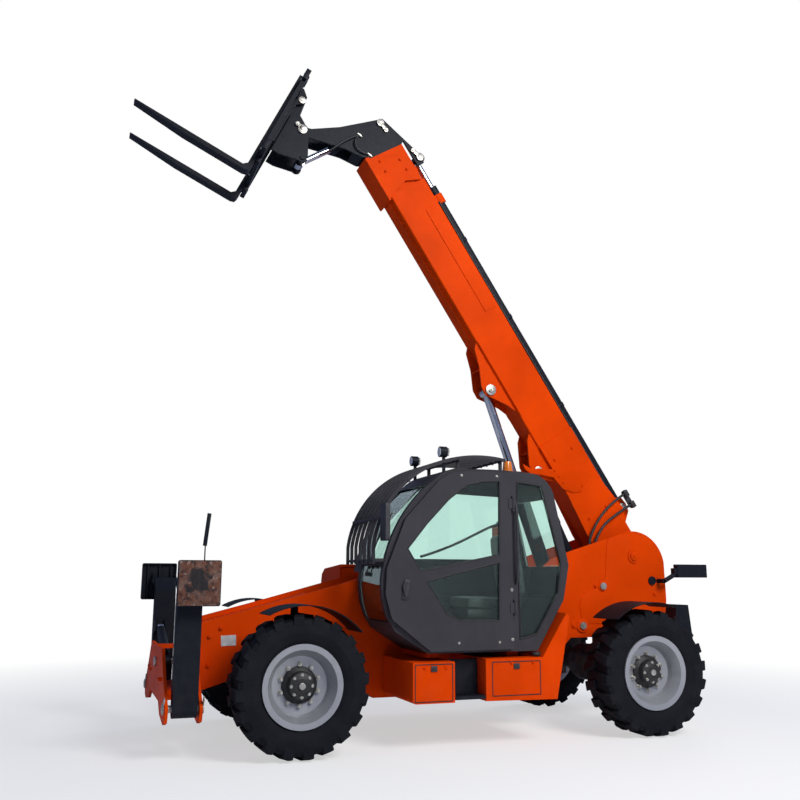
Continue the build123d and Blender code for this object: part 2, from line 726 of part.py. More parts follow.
def make_rod(base, eye, eye_radius, eye_half, bore, start):
    square = line_plane(base, eye)
    with BuildPart() as rod:
        with BuildSketch(square.offset(start)):
            Circle(bore)
        extrude(amount=distance(base, eye) - start - eye_radius / 2)
        with BuildSketch(side_plane(eye_half)):
            with Locations(eye):
                Circle(eye_radius)
        extrude(amount=2 * eye_half)
    return rod


lift_eye = boom_point(*LIFT_EYE)
level_eye = boom_point(*LEVEL_EYE)
tilt_base = boom_point(*TILT_BASE)
tilt_eye = boom_point(*TILT_EYE)
save(make_barrel(LIFT_BASE, lift_eye, 36, 60, 80, 45, 1560, 300), "lift_barrel")
save(make_rod(LIFT_BASE, lift_eye, 55, 88, 45, 1290), "lift_rod")
save(make_barrel(LEVEL_BASE, level_eye, 36, 50, 50, 28, 800, 160), "level_barrel")
save(make_rod(LEVEL_BASE, level_eye, 45, 88, 28, 680), "level_rod")
save(make_barrel(tilt_base, tilt_eye, 28, 60, 58, 34, 640, 100), "tilt_barrel")
save(make_rod(tilt_base, tilt_eye, 50, 45, 34, 415), "tilt_rod")


# Fork carriage: tilting coupler, hook-on frame and two forks, laid out in the forks' own tilted frame
cos_f = cos(radians(FORK_ANGLE))
sin_f = sin(radians(FORK_ANGLE))
pivot_x, pivot_z = boom_point(*CARRIAGE_PIVOT)
fork_side = Plane(origin=(pivot_x, 0, pivot_z), x_dir=(cos_f, 0, sin_f), z_dir=(0, -1, 0))
eye_dx = tilt_eye[0] - pivot_x
eye_dz = tilt_eye[1] - pivot_z
eye_in_forks = (eye_dx * cos_f + eye_dz * sin_f, eye_dz * cos_f - eye_dx * sin_f)

with BuildPart() as coupler:
    for y in (155, -130):
        with BuildSketch(fork_side.offset(-y)):
            with BuildLine():
                Polyline(
                    (-60, 30), (0, 70), (90, 130), (110, 300), (175, 300), (175, -390), (90, -390),
                    (eye_in_forks[0] - 50, eye_in_forks[1] - 30), (eye_in_forks[0] - 40, eye_in_forks[1] + 50),
                    close=True,
                )
            make_face()
            Circle(66)
            with Locations(eye_in_forks):
                Circle(54)
        extrude(amount=25)
    with BuildSketch(fork_side.offset(-160)):
        with Locations((140, 0)):
            Rectangle(26, 400)
        with Locations((150, 268)):
            Circle(34)
    extrude(amount=320)
    with BuildSketch(fork_side.offset(-170)):
        Circle(28 - PIN_CLEARANCE)
    extrude(amount=340)
    for y in (-170, 60):
        with BuildSketch(fork_side.offset(y)):
            with Locations(eye_in_forks):
                Circle(28)
        extrude(amount=110)
save(coupler, "coupler")

with BuildPart() as fork_carriage:
    for y in (200, -175):
        with BuildSketch(fork_side.offset(-y)):
            with BuildLine():
                Polyline(
                    (186, -320), (186, 180), (118, 250), (118, 330), (190, 400), (235, 400),
                    (235, -320), close=True,
                )
            make_face()
            with Locations((150, 268)):
                Circle(35, mode=Mode.SUBTRACT)
        extrude(amount=25)
    with BuildSketch(fork_side.offset(-600)):
        with Locations((222, 300), (222, -620)):
            Rectangle(40, 110)
    extrude(amount=1200)
    for y in (580, 200, -175, -555):
        with BuildSketch(fork_side.offset(-y)):
            with Locations((222, -160)):
                Rectangle(40, 920)
        extrude(amount=25)
save(fork_carriage, "fork_carriage")

with BuildPart() as forks:
    for y in (FORK_SPACING / 2, -FORK_SPACING / 2):
        with BuildSketch(fork_side.offset(-y - 60)):
            with BuildLine():
                Polyline(
                    (243, 380), (288, 380), (293, -800), (331, -838), (300 + FORK_LENGTH, -838),
                    (300 + FORK_LENGTH, -850), (960, -885), (300, -885), (256, -870), (243, -830),
                    close=True,
                )
            make_face()
        extrude(amount=120)
save(forks, "forks")


# Cab: hollow shell, panel walls, window openings, then glass, door and fittings
def cab_outline():
    """Closed side outline of the cab, front to the right."""
    with BuildLine() as line:
        Polyline((-708, CAB_FLOOR_Z), (-996, 1266), (-1063, 1589), (-933, 2199))
        ThreePointArc((-933, 2199), (-850, 2375), (-700, 2448))
        ThreePointArc((-700, 2448), (-418, 2465), (-40, 2462))
        ThreePointArc((-40, 2462), (180, 2440), (300, 2360))
        ThreePointArc((300, 2360), (625, 2010), (800, 1560))
        ThreePointArc((800, 1560), (812, 1320), (752, 1107))
        Polyline((752, 1107), (690, 1010), (379, CAB_FLOOR_Z), (-708, CAB_FLOOR_Z))
    return line


outline_wire = cab_outline()


def cab_block(inset, low_y, high_y, mode=Mode.ADD):
    """Add the cab's outline, moved in by inset, as a block from low_y to high_y."""
    with BuildSketch(side_plane(high_y)) as outline:
        add(outline_wire.line)
        make_face()
        if inset:
            offset(amount=-inset, kind=Kind.INTERSECTION)
    extrude(outline.sketch, amount=high_y - low_y, mode=mode)


CAB_SIDE_Y = CAB_OUT_Y - DOOR_THICKNESS - 6
CAB_MID_Y = (CAB_IN_Y + CAB_SIDE_Y) / 2
WINDOW_HALF = 370
DOOR_HINGE = (PILLAR_X - 15, CAB_OUT_Y + 2)
DOOR_HINGE_Z = (1200, 2150)
HINGE_PIN = 8
with BuildPart() as cab_shell:
    cab_block(0, CAB_IN_Y, CAB_SIDE_Y)
    cab_block(CAB_WALL, CAB_IN_Y + CAB_WALL, CAB_SIDE_Y - CAB_WALL, Mode.SUBTRACT)
    with BuildSketch(side_plane(CAB_NOTCH_Y + CAB_WALL)):
        with Locations((-100, CAB_NOTCH_Z / 2 + CAB_WALL / 2)):
            Rectangle(2400, CAB_NOTCH_Z + CAB_WALL)
    extrude(amount=CAB_NOTCH_Y + CAB_WALL - CAB_IN_Y)
    with BuildSketch(side_plane(CAB_NOTCH_Y)):
        with Locations((-100, CAB_NOTCH_Z / 2)):
            Rectangle(2500, CAB_NOTCH_Z)
    extrude(amount=CAB_NOTCH_Y - CAB_IN_Y + 10, mode=Mode.SUBTRACT)
    cab_block(0, CAB_IN_Y, CAB_SIDE_Y, Mode.INTERSECT)
    with BuildSketch(side_plane(CAB_OUT_Y)):
        Polygon(
            (PILLAR_X + 50, 900), (PILLAR_X + 50, 2370), (180, 2370), (640, 1900), (720, 1300), (340, 900),
            align=None,
        )
        Polygon((-530, 920), (-530, 2360), (-790, 2330), (-980, 1610), (-940, 1330), (-700, 960), align=None)
    extrude(amount=150, mode=Mode.SUBTRACT)
    with BuildSketch(side_plane(CAB_NOTCH_Y)):
        Polygon((-880, 1640), (-780, 2300), (150, 2330), (560, 1900), (640, 1640), align=None)
    extrude(amount=200, mode=Mode.SUBTRACT)
    with BuildSketch(Plane(origin=(200, 0, 0), x_dir=(0, 1, 0), z_dir=(1, 0, 0))):
        with Locations((CAB_MID_Y, 1960)):
            Rectangle(2 * WINDOW_HALF, 700)
        with Locations((CAB_MID_Y + 80, 1330)):
            Rectangle(2 * WINDOW_HALF - 160, 500)
    extrude(amount=700, mode=Mode.SUBTRACT)
    with BuildSketch(Plane(origin=(-1100, 0, 0), x_dir=(0, 1, 0), z_dir=(1, 0, 0))):
        with Locations((CAB_MID_Y, 1900)):
            Rectangle(2 * WINDOW_HALF, 640)
    extrude(amount=280, mode=Mode.SUBTRACT)
    for z in DOOR_HINGE_Z:
        for arm_z in (z - 70, z + 50):
            with BuildSketch(Plane.XY.offset(arm_z)):
                with Locations((DOOR_HINGE[0], (CAB_SIDE_Y + DOOR_HINGE[1]) / 2)):
                    Rectangle(26, DOOR_HINGE[1] - CAB_SIDE_Y + 16)
            extrude(amount=20)
        with BuildSketch(Plane.XY.offset(z - 60)):
            with Locations(DOOR_HINGE):
                Circle(HINGE_PIN)
        extrude(amount=120)
save(cab_shell, "cab_shell")


# Window glass that never moves: windscreen, rear and quarter panes and the pane beside the boom
GLASS = 6
with BuildPart() as pane_reach:
    with BuildSketch(Plane(origin=(-1100, 0, 0), x_dir=(0, 1, 0), z_dir=(1, 0, 0))):
        with Locations((CAB_MID_Y, 1900)):
            Rectangle(2 * WINDOW_HALF - 2, 638)
    extrude(amount=280)
    with BuildSketch(Plane(origin=(200, 0, 0), x_dir=(0, 1, 0), z_dir=(1, 0, 0))):
        with Locations((CAB_MID_Y, 1960)):
            Rectangle(2 * WINDOW_HALF - 2, 698)
        with Locations((CAB_MID_Y + 80, 1330)):
            Rectangle(2 * WINDOW_HALF - 162, 498)
    extrude(amount=700)
with BuildPart() as cab_glass:
    cab_block(12, CAB_IN_Y + 40, CAB_SIDE_Y - 40)
    cab_block(12 + GLASS, CAB_IN_Y, CAB_SIDE_Y, Mode.SUBTRACT)
    add(pane_reach.part, mode=Mode.INTERSECT)
    with BuildSketch(side_plane(CAB_IN_Y + 24)):
        Polygon((-878, 1642), (-778, 2298), (148, 2328), (558, 1898), (638, 1642), align=None)
    extrude(amount=GLASS)
    with BuildSketch(side_plane(CAB_SIDE_Y - 16)):
        Polygon((-532, 922), (-532, 2358), (-788, 2328), (-978, 1610), (-938, 1332), (-700, 962), align=None)
    extrude(amount=GLASS)
save(cab_glass, "cab_glass")

# Door: one frame with an upper and a lower window, hinged on the pillar behind it
door_outline = [
    (PILLAR_X + 8, 835), (PILLAR_X + 8, 2440), (-40, 2440), (170, 2412), (290, 2335), (610, 1985),
    (782, 1550), (792, 1320), (732, 1112), (370, 832),
]
UPPER_PANE = [
    (590, 1722), (401, 1952), (191, 2171), (8, 2310), (-142, 2347),
    (-329, 2357), (-315, 1674), (465, 1522),
]
LOWER_PANE = [(412, 1436), (-314, 1609), (-303, 1086), (88, 1091), (224, 1155)]
with BuildPart() as door_frame:
    with BuildSketch(side_plane(CAB_OUT_Y)):
        Polygon(*door_outline, align=None)
        fillet(vertices().sort_by(Axis.X)[-4:], 60)
        Polygon(*UPPER_PANE, align=None, mode=Mode.SUBTRACT)
        Polygon(*LOWER_PANE, align=None, mode=Mode.SUBTRACT)
    extrude(amount=DOOR_THICKNESS)
    with BuildSketch(side_plane(CAB_OUT_Y + 26)):
        with Locations((605, 1365)):
            SlotOverall(130, 60, rotation=80)
    extrude(amount=26)
    for z in DOOR_HINGE_Z:
        with BuildSketch(Plane.XY.offset(z - 44)):
            with Locations(DOOR_HINGE):
                Circle(15)
            with Locations((DOOR_HINGE[0] + 28, DOOR_HINGE[1])):
                Rectangle(50, 10)
            with Locations(DOOR_HINGE):
                Circle(HINGE_PIN + PIN_CLEARANCE, mode=Mode.SUBTRACT)
        extrude(amount=88)
save(door_frame, "door_frame")

with BuildPart() as door_glass:
    for pane in (UPPER_PANE, LOWER_PANE):
        with BuildSketch(side_plane(CAB_OUT_Y - 14)):
            Polygon(*pane, align=None)
            offset(amount=-1, kind=Kind.INTERSECTION)
        extrude(amount=GLASS)
save(door_glass, "door_glass")

# Roof and windscreen guard: curved bars on cross rails
GUARD_BAR = 12
GUARD_COUNT = 7
with BuildPart() as cab_guard:
    for index in range(GUARD_COUNT):
        y = CAB_IN_Y + 60 + index * (CAB_OUT_Y - CAB_IN_Y - 120) / (GUARD_COUNT - 1)
        with BuildSketch(side_plane(y + GUARD_BAR / 2)):
            with BuildLine():
                Polyline((905, 1590), (905, 1750))
                ThreePointArc((905, 1750), (720, 2200), (330, 2500))
                ThreePointArc((330, 2500), (100, 2570), (-420, 2575))
                Polyline((-420, 2575), (-420, 2545))
                ThreePointArc((-420, 2545), (95, 2540), (312, 2475))
                ThreePointArc((312, 2475), (690, 2185), (875, 1745))
                Polyline((875, 1745), (875, 1590), (905, 1590))
            make_face()
        extrude(amount=GUARD_BAR)
    for x, z in ((890, 1620), (832, 1990), (560, 2330), (60, 2545), (-380, 2555)):
        with BuildSketch(side_plane(CAB_OUT_Y - 40)):
            with Locations((x, z)):
                Rectangle(20, 20)
        extrude(amount=CAB_OUT_Y - CAB_IN_Y - 80)
    for x, z in ((-380, 2555), (60, 2545)):
        for y in (CAB_OUT_Y - 80, CAB_IN_Y + 100):
            with BuildSketch(side_plane(y)):
                with Locations((x, z - 50)):
                    Rectangle(30, 100)
            extrude(amount=20)
    for y in (CAB_OUT_Y - 60, CAB_IN_Y + 80):
        with BuildSketch(side_plane(y)):
            Polygon((770, 1606), (770, 1636), (890, 1632), (890, 1608), align=None)
        extrude(amount=20)
    cab_block(0, CAB_IN_Y, CAB_SIDE_Y, Mode.SUBTRACT)
save(cab_guard, "cab_guard")

with BuildPart() as seat:
    with BuildSketch(side_plane(990)):
        Polygon((-520, 1180), (-60, 1200), (-40, 1270), (-80, 1310), (-500, 1290), align=None)
        fillet(vertices(), 20)
    extrude(amount=480)
    with BuildSketch(side_plane(980)):
        Polygon((-590, 1260), (-500, 1296), (-600, 1880), (-690, 1880), (-700, 1700), align=None)
        fillet(vertices(), 20)
    extrude(amount=460)
    with BuildSketch(Plane.XY.offset(CAB_FLOOR_Z + CAB_WALL)):
        with Locations((-290, 750)):
            Rectangle(380, 380)
    extrude(amount=345)
save(seat, "seat")

with BuildPart() as dashboard:
    with BuildSketch(side_plane(1000)):
        Polygon((370, 860), (540, 1010), (630, 1160), (610, 1420), (500, 1460), (370, 1300), (320, 860), align=None)
        fillet(vertices().sort_by(Axis.Y)[-3:], 30)
    extrude(amount=500)
    column = Plane(origin=(430, 750, 1340), x_dir=(0, 1, 0), z_dir=(-0.42, 0, 0.91))
    with BuildSketch(column):
        Circle(28)
    extrude(amount=220)
    with BuildSketch(column.offset(200)):
        Circle(185)
        Circle(160, mode=Mode.SUBTRACT)
        Rectangle(330, 26)
    extrude(amount=22)
save(dashboard, "dashboard")

with BuildPart() as cab_lamps:
    for y in (CAB_OUT_Y - 80, CAB_IN_Y + 80):
        with BuildSketch(Plane(origin=(245, y, 2615), x_dir=(0, 1, 0), z_dir=(1, 0, 0))):
            Circle(50)
        extrude(amount=-65)
        with BuildSketch(side_plane(y + 6)):
            with Locations((205, 2490)):
                Rectangle(30, 170)
        extrude(amount=12)
    cab_block(0, CAB_IN_Y, CAB_SIDE_Y, Mode.SUBTRACT)
    with BuildSketch(Plane.XY.offset(2463)):
        with Locations((-620, 760)):
            Circle(55)
    extrude(amount=30)
    with BuildSketch(Plane.XY.offset(2493)):
        with Locations((-620, 760)):
            Circle(50)
    extrude(amount=110, taper=6)
save(cab_lamps, "roof_lights")

with BuildPart() as mirror:
    with BuildSketch(side_plane(1225)):
        with Locations((832, 1990)):
            Circle(10)
    extrude(amount=1225 - CAB_OUT_Y + 40)
    with BuildSketch(Plane(origin=(800, 1225, 1950), x_dir=(0, 1, 0), z_dir=(1, 0, 0))):
        RectangleRounded(150, 330, 24)
    extrude(amount=42)
save(mirror, "mirror")

# Boxes and step below the cab
with BuildPart() as side_boxes:
    with BuildSketch(side_plane(CAB_OUT_Y + 25)):
        Polygon((155, 400), (520, 400), (548, 430), (548, 745), (155, 745), align=None)
        Polygon((-146, 400), (-146, 760), (-720, 760), (-980, 1150), (-1010, 1120), (-860, 390), align=None)
    extrude(amount=CAB_OUT_Y + 25 - FRAME_Y - 20)
save(side_boxes, "side_boxes")

with BuildPart() as cab_step:
    with BuildSketch(Plane.XY.offset(420)):
        with Locations((5, 1095)):
            Rectangle(290, 190)
    extrude(amount=30)
    with BuildSketch(Plane.XY.offset(450)):
        with Locations((5, 1010)):
            Rectangle(290, 20)
    extrude(amount=300)
save(cab_step, "cab_step")

# Engine bay on the right side, with its lift-up hood and the engine inside as one block
BAY_OUT_Y = -1180
BAY_IN_Y = -FRAME_Y - 20
BAY_FRONT_X = 750
HOOD_TOP_Z = 1600
HOOD_HINGE = (BAY_IN_Y + 12, 1583)
HOOD_HINGE_X = (-800, 450)
HOOD_PIN = 5
with BuildPart() as engine_bay:
    with BuildSketch(side_plane(BAY_IN_Y)):
        Polygon((-1080, 470), (650, 470), (BAY_FRONT_X, 620), (BAY_FRONT_X, 1240), (-1080, 1240), align=None)
    extrude(amount=BAY_IN_Y - BAY_OUT_Y)
    with BuildSketch(side_plane(BAY_IN_Y - 30)):
        Polygon((-1050, 500), (635, 500), (720, 628), (720, 1300), (-1050, 1300), align=None)
    extrude(amount=BAY_IN_Y - BAY_OUT_Y - 60, mode=Mode.SUBTRACT)
    with BuildSketch(side_plane(BAY_IN_Y)):
        Polygon((-1080, 1240), (BAY_FRONT_X, 1240), (BAY_FRONT_X - 30, 1562), (-1080, 1562), align=None)
    extrude(amount=30)
    for x in HOOD_HINGE_X:
        for arm_x in (x - 52, x + 36):
            with BuildSketch(Plane(origin=(arm_x, 0, 0), x_dir=(0, 1, 0), z_dir=(1, 0, 0))):
                Polygon(
                    (BAY_IN_Y - 3, 1500), (BAY_IN_Y + 19, 1500), (BAY_IN_Y + 19, 1593), (BAY_IN_Y + 6, 1593),
                    (BAY_IN_Y + 6, 1562), (BAY_IN_Y - 3, 1560), align=None,
                )
            extrude(amount=16)
        with BuildSketch(Plane(origin=(x - 40, 0, 0), x_dir=(0, 1, 0), z_dir=(1, 0, 0))):
            with Locations(HOOD_HINGE):
                Circle(HOOD_PIN)
        extrude(amount=80)
    with BuildSketch(Plane.XY.offset(1130)):
        with Locations((-1135, -560)):
            Circle(50)
    extrude(amount=900)
    with BuildSketch(Plane.XY.offset(1130)):
        with Locations((-1100, -560)):
            Rectangle(60, 60)
    extrude(amount=60)
save(engine_bay, "engine_bay")

with BuildPart() as engine_hood:
    hood_section = Plane(origin=(-1076, 0, 0), x_dir=(0, 1, 0), z_dir=(1, 0, 0))
    with BuildSketch(hood_section):
        with BuildLine():
            Polyline(
                (BAY_IN_Y, 1570), (BAY_IN_Y, HOOD_TOP_Z), (-1040, 1560), (-1150, 1500), (BAY_OUT_Y, 1400),
                (BAY_OUT_Y, 1246), (BAY_OUT_Y + 25, 1246), (BAY_OUT_Y + 25, 1390), (-1134, 1476),
                (-1034, 1532), close=True,
            )
        make_face()
    extrude(amount=BAY_FRONT_X + 1072)
    for x in (-1076, BAY_FRONT_X - 29):
        with BuildSketch(Plane(origin=(x, 0, 0), x_dir=(0, 1, 0), z_dir=(1, 0, 0))):
            Polygon(
                (BAY_IN_Y - 36, 1571), (-1036, 1534), (-1136, 1478), (BAY_OUT_Y + 24, 1390),
                (BAY_OUT_Y + 24, 1246), (BAY_IN_Y - 36, 1246), align=None,
            )
        extrude(amount=25)
    for x in HOOD_HINGE_X:
        with BuildSketch(Plane(origin=(x - 30, 0, 0), x_dir=(0, 1, 0), z_dir=(1, 0, 0))):
            with Locations(HOOD_HINGE):
                Circle(9)
            with Locations((BAY_IN_Y + 2, HOOD_HINGE[1] + 3)):
                Rectangle(16, 12)
            with Locations(HOOD_HINGE):
                Circle(HOOD_PIN + PIN_CLEARANCE, mode=Mode.SUBTRACT)
        extrude(amount=60)
save(engine_hood, "engine_hood")

with BuildPart() as engine_block:
    with BuildSketch(Plane.XY.offset(560)):
        with Locations((-80, -780)):
            Rectangle(1050, 560)
    extrude(amount=640)
save(engine_block, "engine_block")

# Rear lamps on tube brackets
with BuildPart() as rear_lamps:
    for side in (1, -1):
        with BuildSketch(side_plane(side * FRAME_Y)):
            with Locations((-2600, 1440)):
                Circle(24)
        extrude(amount=-side * 120)
        with BuildSketch(Plane(origin=(-2600, side * 500, 1440), x_dir=(0, 1, 0), z_dir=(-0.72, 0, 0.36))):
            Circle(24)
        extrude(amount=190)
        with BuildSketch(Plane(origin=(-2710, side * 500, 1545), x_dir=(0, 1, 0), z_dir=(-1, 0, 0))):
            Rectangle(60, 60)
        extrude(amount=60)
        with BuildSketch(Plane(origin=(-2750, side * 500, 1545), x_dir=(0, 1, 0), z_dir=(-1, 0, 0))):
            RectangleRounded(70, 140, 10)
        extrude(amount=380)
save(rear_lamps, "rear_lamps")
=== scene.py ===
import math

import bmesh
import bpy
from mathutils import Matrix, Vector


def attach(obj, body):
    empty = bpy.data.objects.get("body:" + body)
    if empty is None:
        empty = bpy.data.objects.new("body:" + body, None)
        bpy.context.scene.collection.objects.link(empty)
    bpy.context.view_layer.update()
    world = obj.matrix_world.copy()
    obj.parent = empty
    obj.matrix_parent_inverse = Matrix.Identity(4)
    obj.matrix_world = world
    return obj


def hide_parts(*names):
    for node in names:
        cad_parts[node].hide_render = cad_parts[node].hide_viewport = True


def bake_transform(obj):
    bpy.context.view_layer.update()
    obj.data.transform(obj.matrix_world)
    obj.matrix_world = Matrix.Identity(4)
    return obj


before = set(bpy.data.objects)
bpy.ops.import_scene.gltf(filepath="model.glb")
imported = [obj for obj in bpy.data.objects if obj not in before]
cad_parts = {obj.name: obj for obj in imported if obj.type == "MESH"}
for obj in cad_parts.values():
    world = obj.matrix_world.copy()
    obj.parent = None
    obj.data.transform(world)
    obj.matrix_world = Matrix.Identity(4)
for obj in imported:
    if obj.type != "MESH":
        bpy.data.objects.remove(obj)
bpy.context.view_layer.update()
scene = bpy.context.scene
print("frame loaded", len(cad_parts), "nodes")


# A socket that can be used in sums, so a mask is written as a formula
class Wire:
    def __init__(self, tree, socket):
        self.tree = tree
        self.socket = socket

    def sum(self, operation, *values):
        node = self.tree.nodes.new("ShaderNodeMath")
        node.operation = operation
        for slot, value in zip(node.inputs, values):
            if isinstance(value, Wire):
                self.tree.links.new(value.socket, slot)
            else:
                slot.default_value = value
        return Wire(self.tree, node.outputs[0])

    def __add__(self, other):
        return self.sum("ADD", self, other)

    def __radd__(self, other):
        return self.sum("ADD", other, self)

    def __sub__(self, other):
        return self.sum("SUBTRACT", self, other)

    def __rsub__(self, other):
        return self.sum("SUBTRACT", other, self)

    def __mul__(self, other):
        return self.sum("MULTIPLY", self, other)

    def __rmul__(self, other):
        return self.sum("MULTIPLY", other, self)

    def __truediv__(self, other):
        return self.sum("DIVIDE", self, other)

    def __lt__(self, other):
        return self.sum("LESS_THAN", self, other)

    def __gt__(self, other):
        return self.sum("GREATER_THAN", self, other)

    def root(self):
        return self.sum("SQRT", self)

    def limit(self):
        return self.sum("MINIMUM", self.sum("MAXIMUM", self, 0.0), 1.0)


class Finish:
    def __init__(self, name, colour, roughness, **fixed):
        self.material = bpy.data.materials.new(name)
        self.material.use_nodes = True
        self.tree = self.material.node_tree
        self.shader = self.tree.nodes["Principled BSDF"]
        self.shader.inputs["Base Color"].default_value = (*colour, 1)
        self.shader.inputs["Roughness"].default_value = roughness
        for key, value in fixed.items():
            self.shader.inputs[key.replace("_", " ")].default_value = value
        self.spot = self.node("ShaderNodeTexCoord", output="Object")

    def node(self, kind, settings=None, inputs=None, output=0):
        made = self.tree.nodes.new(kind)
        for key, value in (settings or {}).items():
            setattr(made, key, value)
        for key, value in (inputs or {}).items():
            if isinstance(value, Wire):
                self.tree.links.new(value.socket, made.inputs[key])
            else:
                made.inputs[key].default_value = value
        return Wire(self.tree, made.outputs[output])

    def noise(self, scale, low=0.35, high=0.65, detail=4.0, stretch=(1, 1, 1)):
        moved = self.node("ShaderNodeMapping", None, {"Vector": self.spot, "Scale": stretch})
        grain = self.node("ShaderNodeTexNoise", None, {"Vector": moved, "Scale": scale, "Detail": detail})
        return self.node("ShaderNodeMapRange", None, {"Value": grain, "From Min": low, "From Max": high})

    def along(self, axis):
        return self.node("ShaderNodeSeparateXYZ", None, {"Vector": self.spot}, axis)

    def mix(self, factor, first, second):
        first = first if isinstance(first, Wire) else (*first, 1)
        second = second if isinstance(second, Wire) else (*second, 1)
        return self.node("ShaderNodeMix", {"data_type": "RGBA"}, {0: factor, 6: first, 7: second}, 2)

    def feed(self, **sockets):
        for key, value in sockets.items():
            self.tree.links.new(value.socket, self.shader.inputs[key.replace("_", " ")])

    def bump(self, height, distance, strength=1.0):
        sockets = {"Height": height, "Distance": distance, "Strength": strength}
        self.feed(Normal=self.node("ShaderNodeBump", None, sockets))


# Paints are new and clean, with a little road dust low down and in patches
def paintFinish(name, colour, roughness, coat, dust, dustTop=1.3, gloss=0.10):
    finish = Finish(name, colour, roughness, Coat_Weight=coat, Coat_Roughness=0.12, Specular_IOR_Level=gloss)
    shade = tuple(c * 0.82 for c in colour)
    tone = finish.mix(finish.noise(1.7), colour, shade)
    low = (1 - finish.along(2) / dustTop).limit()
    dirt = (finish.noise(9, 0.42, 0.7) * (0.12 + low * 0.88) * dust).limit()
    streak = finish.noise(14, 0.52, 0.8, 3, (1, 1, 0.12)) * dust * 0.35
    finish.feed(Base_Color=finish.mix((dirt + streak).limit(), tone, (0.24, 0.19, 0.15)))
    finish.feed(Roughness=roughness + finish.noise(23) * 0.05 + dirt * 0.35)
    finish.bump(finish.noise(60, 0.3, 0.7, 2), 0.0001, 0.2)
    return finish.material


orangePaint = paintFinish("orangePaint", (0.74, 0.055, 0.0005), 0.42, 0.0, 0.03, gloss=0.02)
blackPaint = paintFinish("blackPaint", (0.010, 0.012, 0.018), 0.42, 0.0, 0.05)
cabGrey = paintFinish("cabGrey", (0.046, 0.044, 0.050), 0.46, 0.05, 0.06)
axleGrey = paintFinish("axleGrey", (0.030, 0.030, 0.032), 0.5, 0.1, 0.30)
fenderPlastic = paintFinish("fenderPlastic", (0.010, 0.012, 0.015), 0.50, 0.0, 0.04, gloss=0.05)


def rimFinish(name, axleX):
    finish = Finish(name, (0.62, 0.62, 0.63), 0.34, Metallic=0.35)
    x = finish.along(0) - axleX
    z = finish.along(2) - 0.585
    reach = (x * x + z * z).root()
    hub = reach < 0.151
    dust = finish.noise(12, 0.45, 0.75) * 0.22
    silver = finish.mix(dust, (0.34, 0.35, 0.37), (0.24, 0.22, 0.20))
    dark = finish.mix(finish.noise(30), (0.008, 0.008, 0.010), (0.020, 0.019, 0.018))
    finish.feed(Base_Color=finish.mix(hub, silver, dark))
    finish.feed(Roughness=0.32 + hub * 0.2 + dust * 0.5, Metallic=0.4 - hub * 0.35)
    finish.bump(finish.noise(160, 0.3, 0.7, 3), 0.0003, 0.3)
    return finish.material


def rubberFinish():
    finish = Finish("tyreRubber", (0.008, 0.008, 0.010), 0.78, Specular_IOR_Level=0.12)
    dust = finish.noise(7, 0.42, 0.72) * 0.5 + finish.noise(48, 0.5, 0.8) * 0.25
    finish.feed(Base_Color=finish.mix(dust.limit() * 0.45, (0.006, 0.007, 0.010), (0.030, 0.029, 0.030)))
    finish.feed(Roughness=0.70 + dust * 0.18)
    finish.bump(finish.noise(260, 0.3, 0.7, 4) + finish.noise(34) * 0.6, 0.0007, 0.6)
    return finish.material


def glassFinish():
    finish = Finish("mintGlass", (0.72, 0.90, 0.84), 0.02, Transmission_Weight=1.0, IOR=1.45)
    finish.feed(Roughness=finish.noise(4, 0.5, 0.8, 5) * 0.02)
    return finish.material


def rodFinish():
    finish = Finish("rodChrome", (0.72, 0.72, 0.74), 0.14, Metallic=1.0)
    finish.feed(Roughness=0.10 + finish.noise(60, 0.4, 0.7, 3, (1, 1, 0.2)) * 0.10)
    finish.feed(Base_Color=finish.mix(finish.noise(5), (0.74, 0.74, 0.76), (0.60, 0.60, 0.61)))
    return finish.material


def zincFinish():
    finish = Finish("boltZinc", (0.55, 0.54, 0.50), 0.38, Metallic=0.85)
    finish.feed(Base_Color=finish.mix(finish.noise(40), (0.58, 0.57, 0.52), (0.36, 0.34, 0.30)))
    finish.feed(Roughness=0.32 + finish.noise(70) * 0.2)
    return finish.material


def rustFinish():
    finish = Finish("wornSole", (0.20, 0.09, 0.05), 0.75, Metallic=0.2)
    patch = finish.noise(11, 0.42, 0.6, 6)
    burn = finish.noise(26, 0.45, 0.62, 5)
    rust = finish.mix(burn, (0.130, 0.046, 0.024), (0.034, 0.014, 0.011))
    worn = finish.mix(patch * 0.55, rust, (0.20, 0.12, 0.09))
    scratch = finish.noise(34, 0.60, 0.70, 3)
    x = finish.along(0) - 2.395
    z = finish.along(2) - 1.435
    reach = (x * x + z * z).root() + (finish.noise(15, 0.3, 0.7, 6) - 0.5) * 0.09
    char = (1 - (reach - 0.085) / 0.030).limit()
    soot = finish.mix(burn * 0.5, (0.010, 0.009, 0.011), (0.040, 0.022, 0.018))
    marked = finish.mix(scratch * 0.5, worn, (0.36, 0.28, 0.24))
    finish.feed(Base_Color=finish.mix(char, marked, soot))
    finish.feed(Roughness=0.8 - scratch * 0.2)
    finish.bump(patch + burn * 0.5, 0.0012, 0.6)
    return finish.material


def plasticFinish(name, colour, roughness, grain):
    finish = Finish(name, colour, roughness)
    lighter = tuple(c * 1.5 + 0.004 for c in colour)
    finish.feed(Base_Color=finish.mix(finish.noise(20, 0.45, 0.75), colour, lighter))
    finish.feed(Roughness=roughness + finish.noise(50) * 0.08)
    finish.bump(finish.noise(grain, 0.3, 0.7, 2), 0.0005, 0.5)
    return finish.material


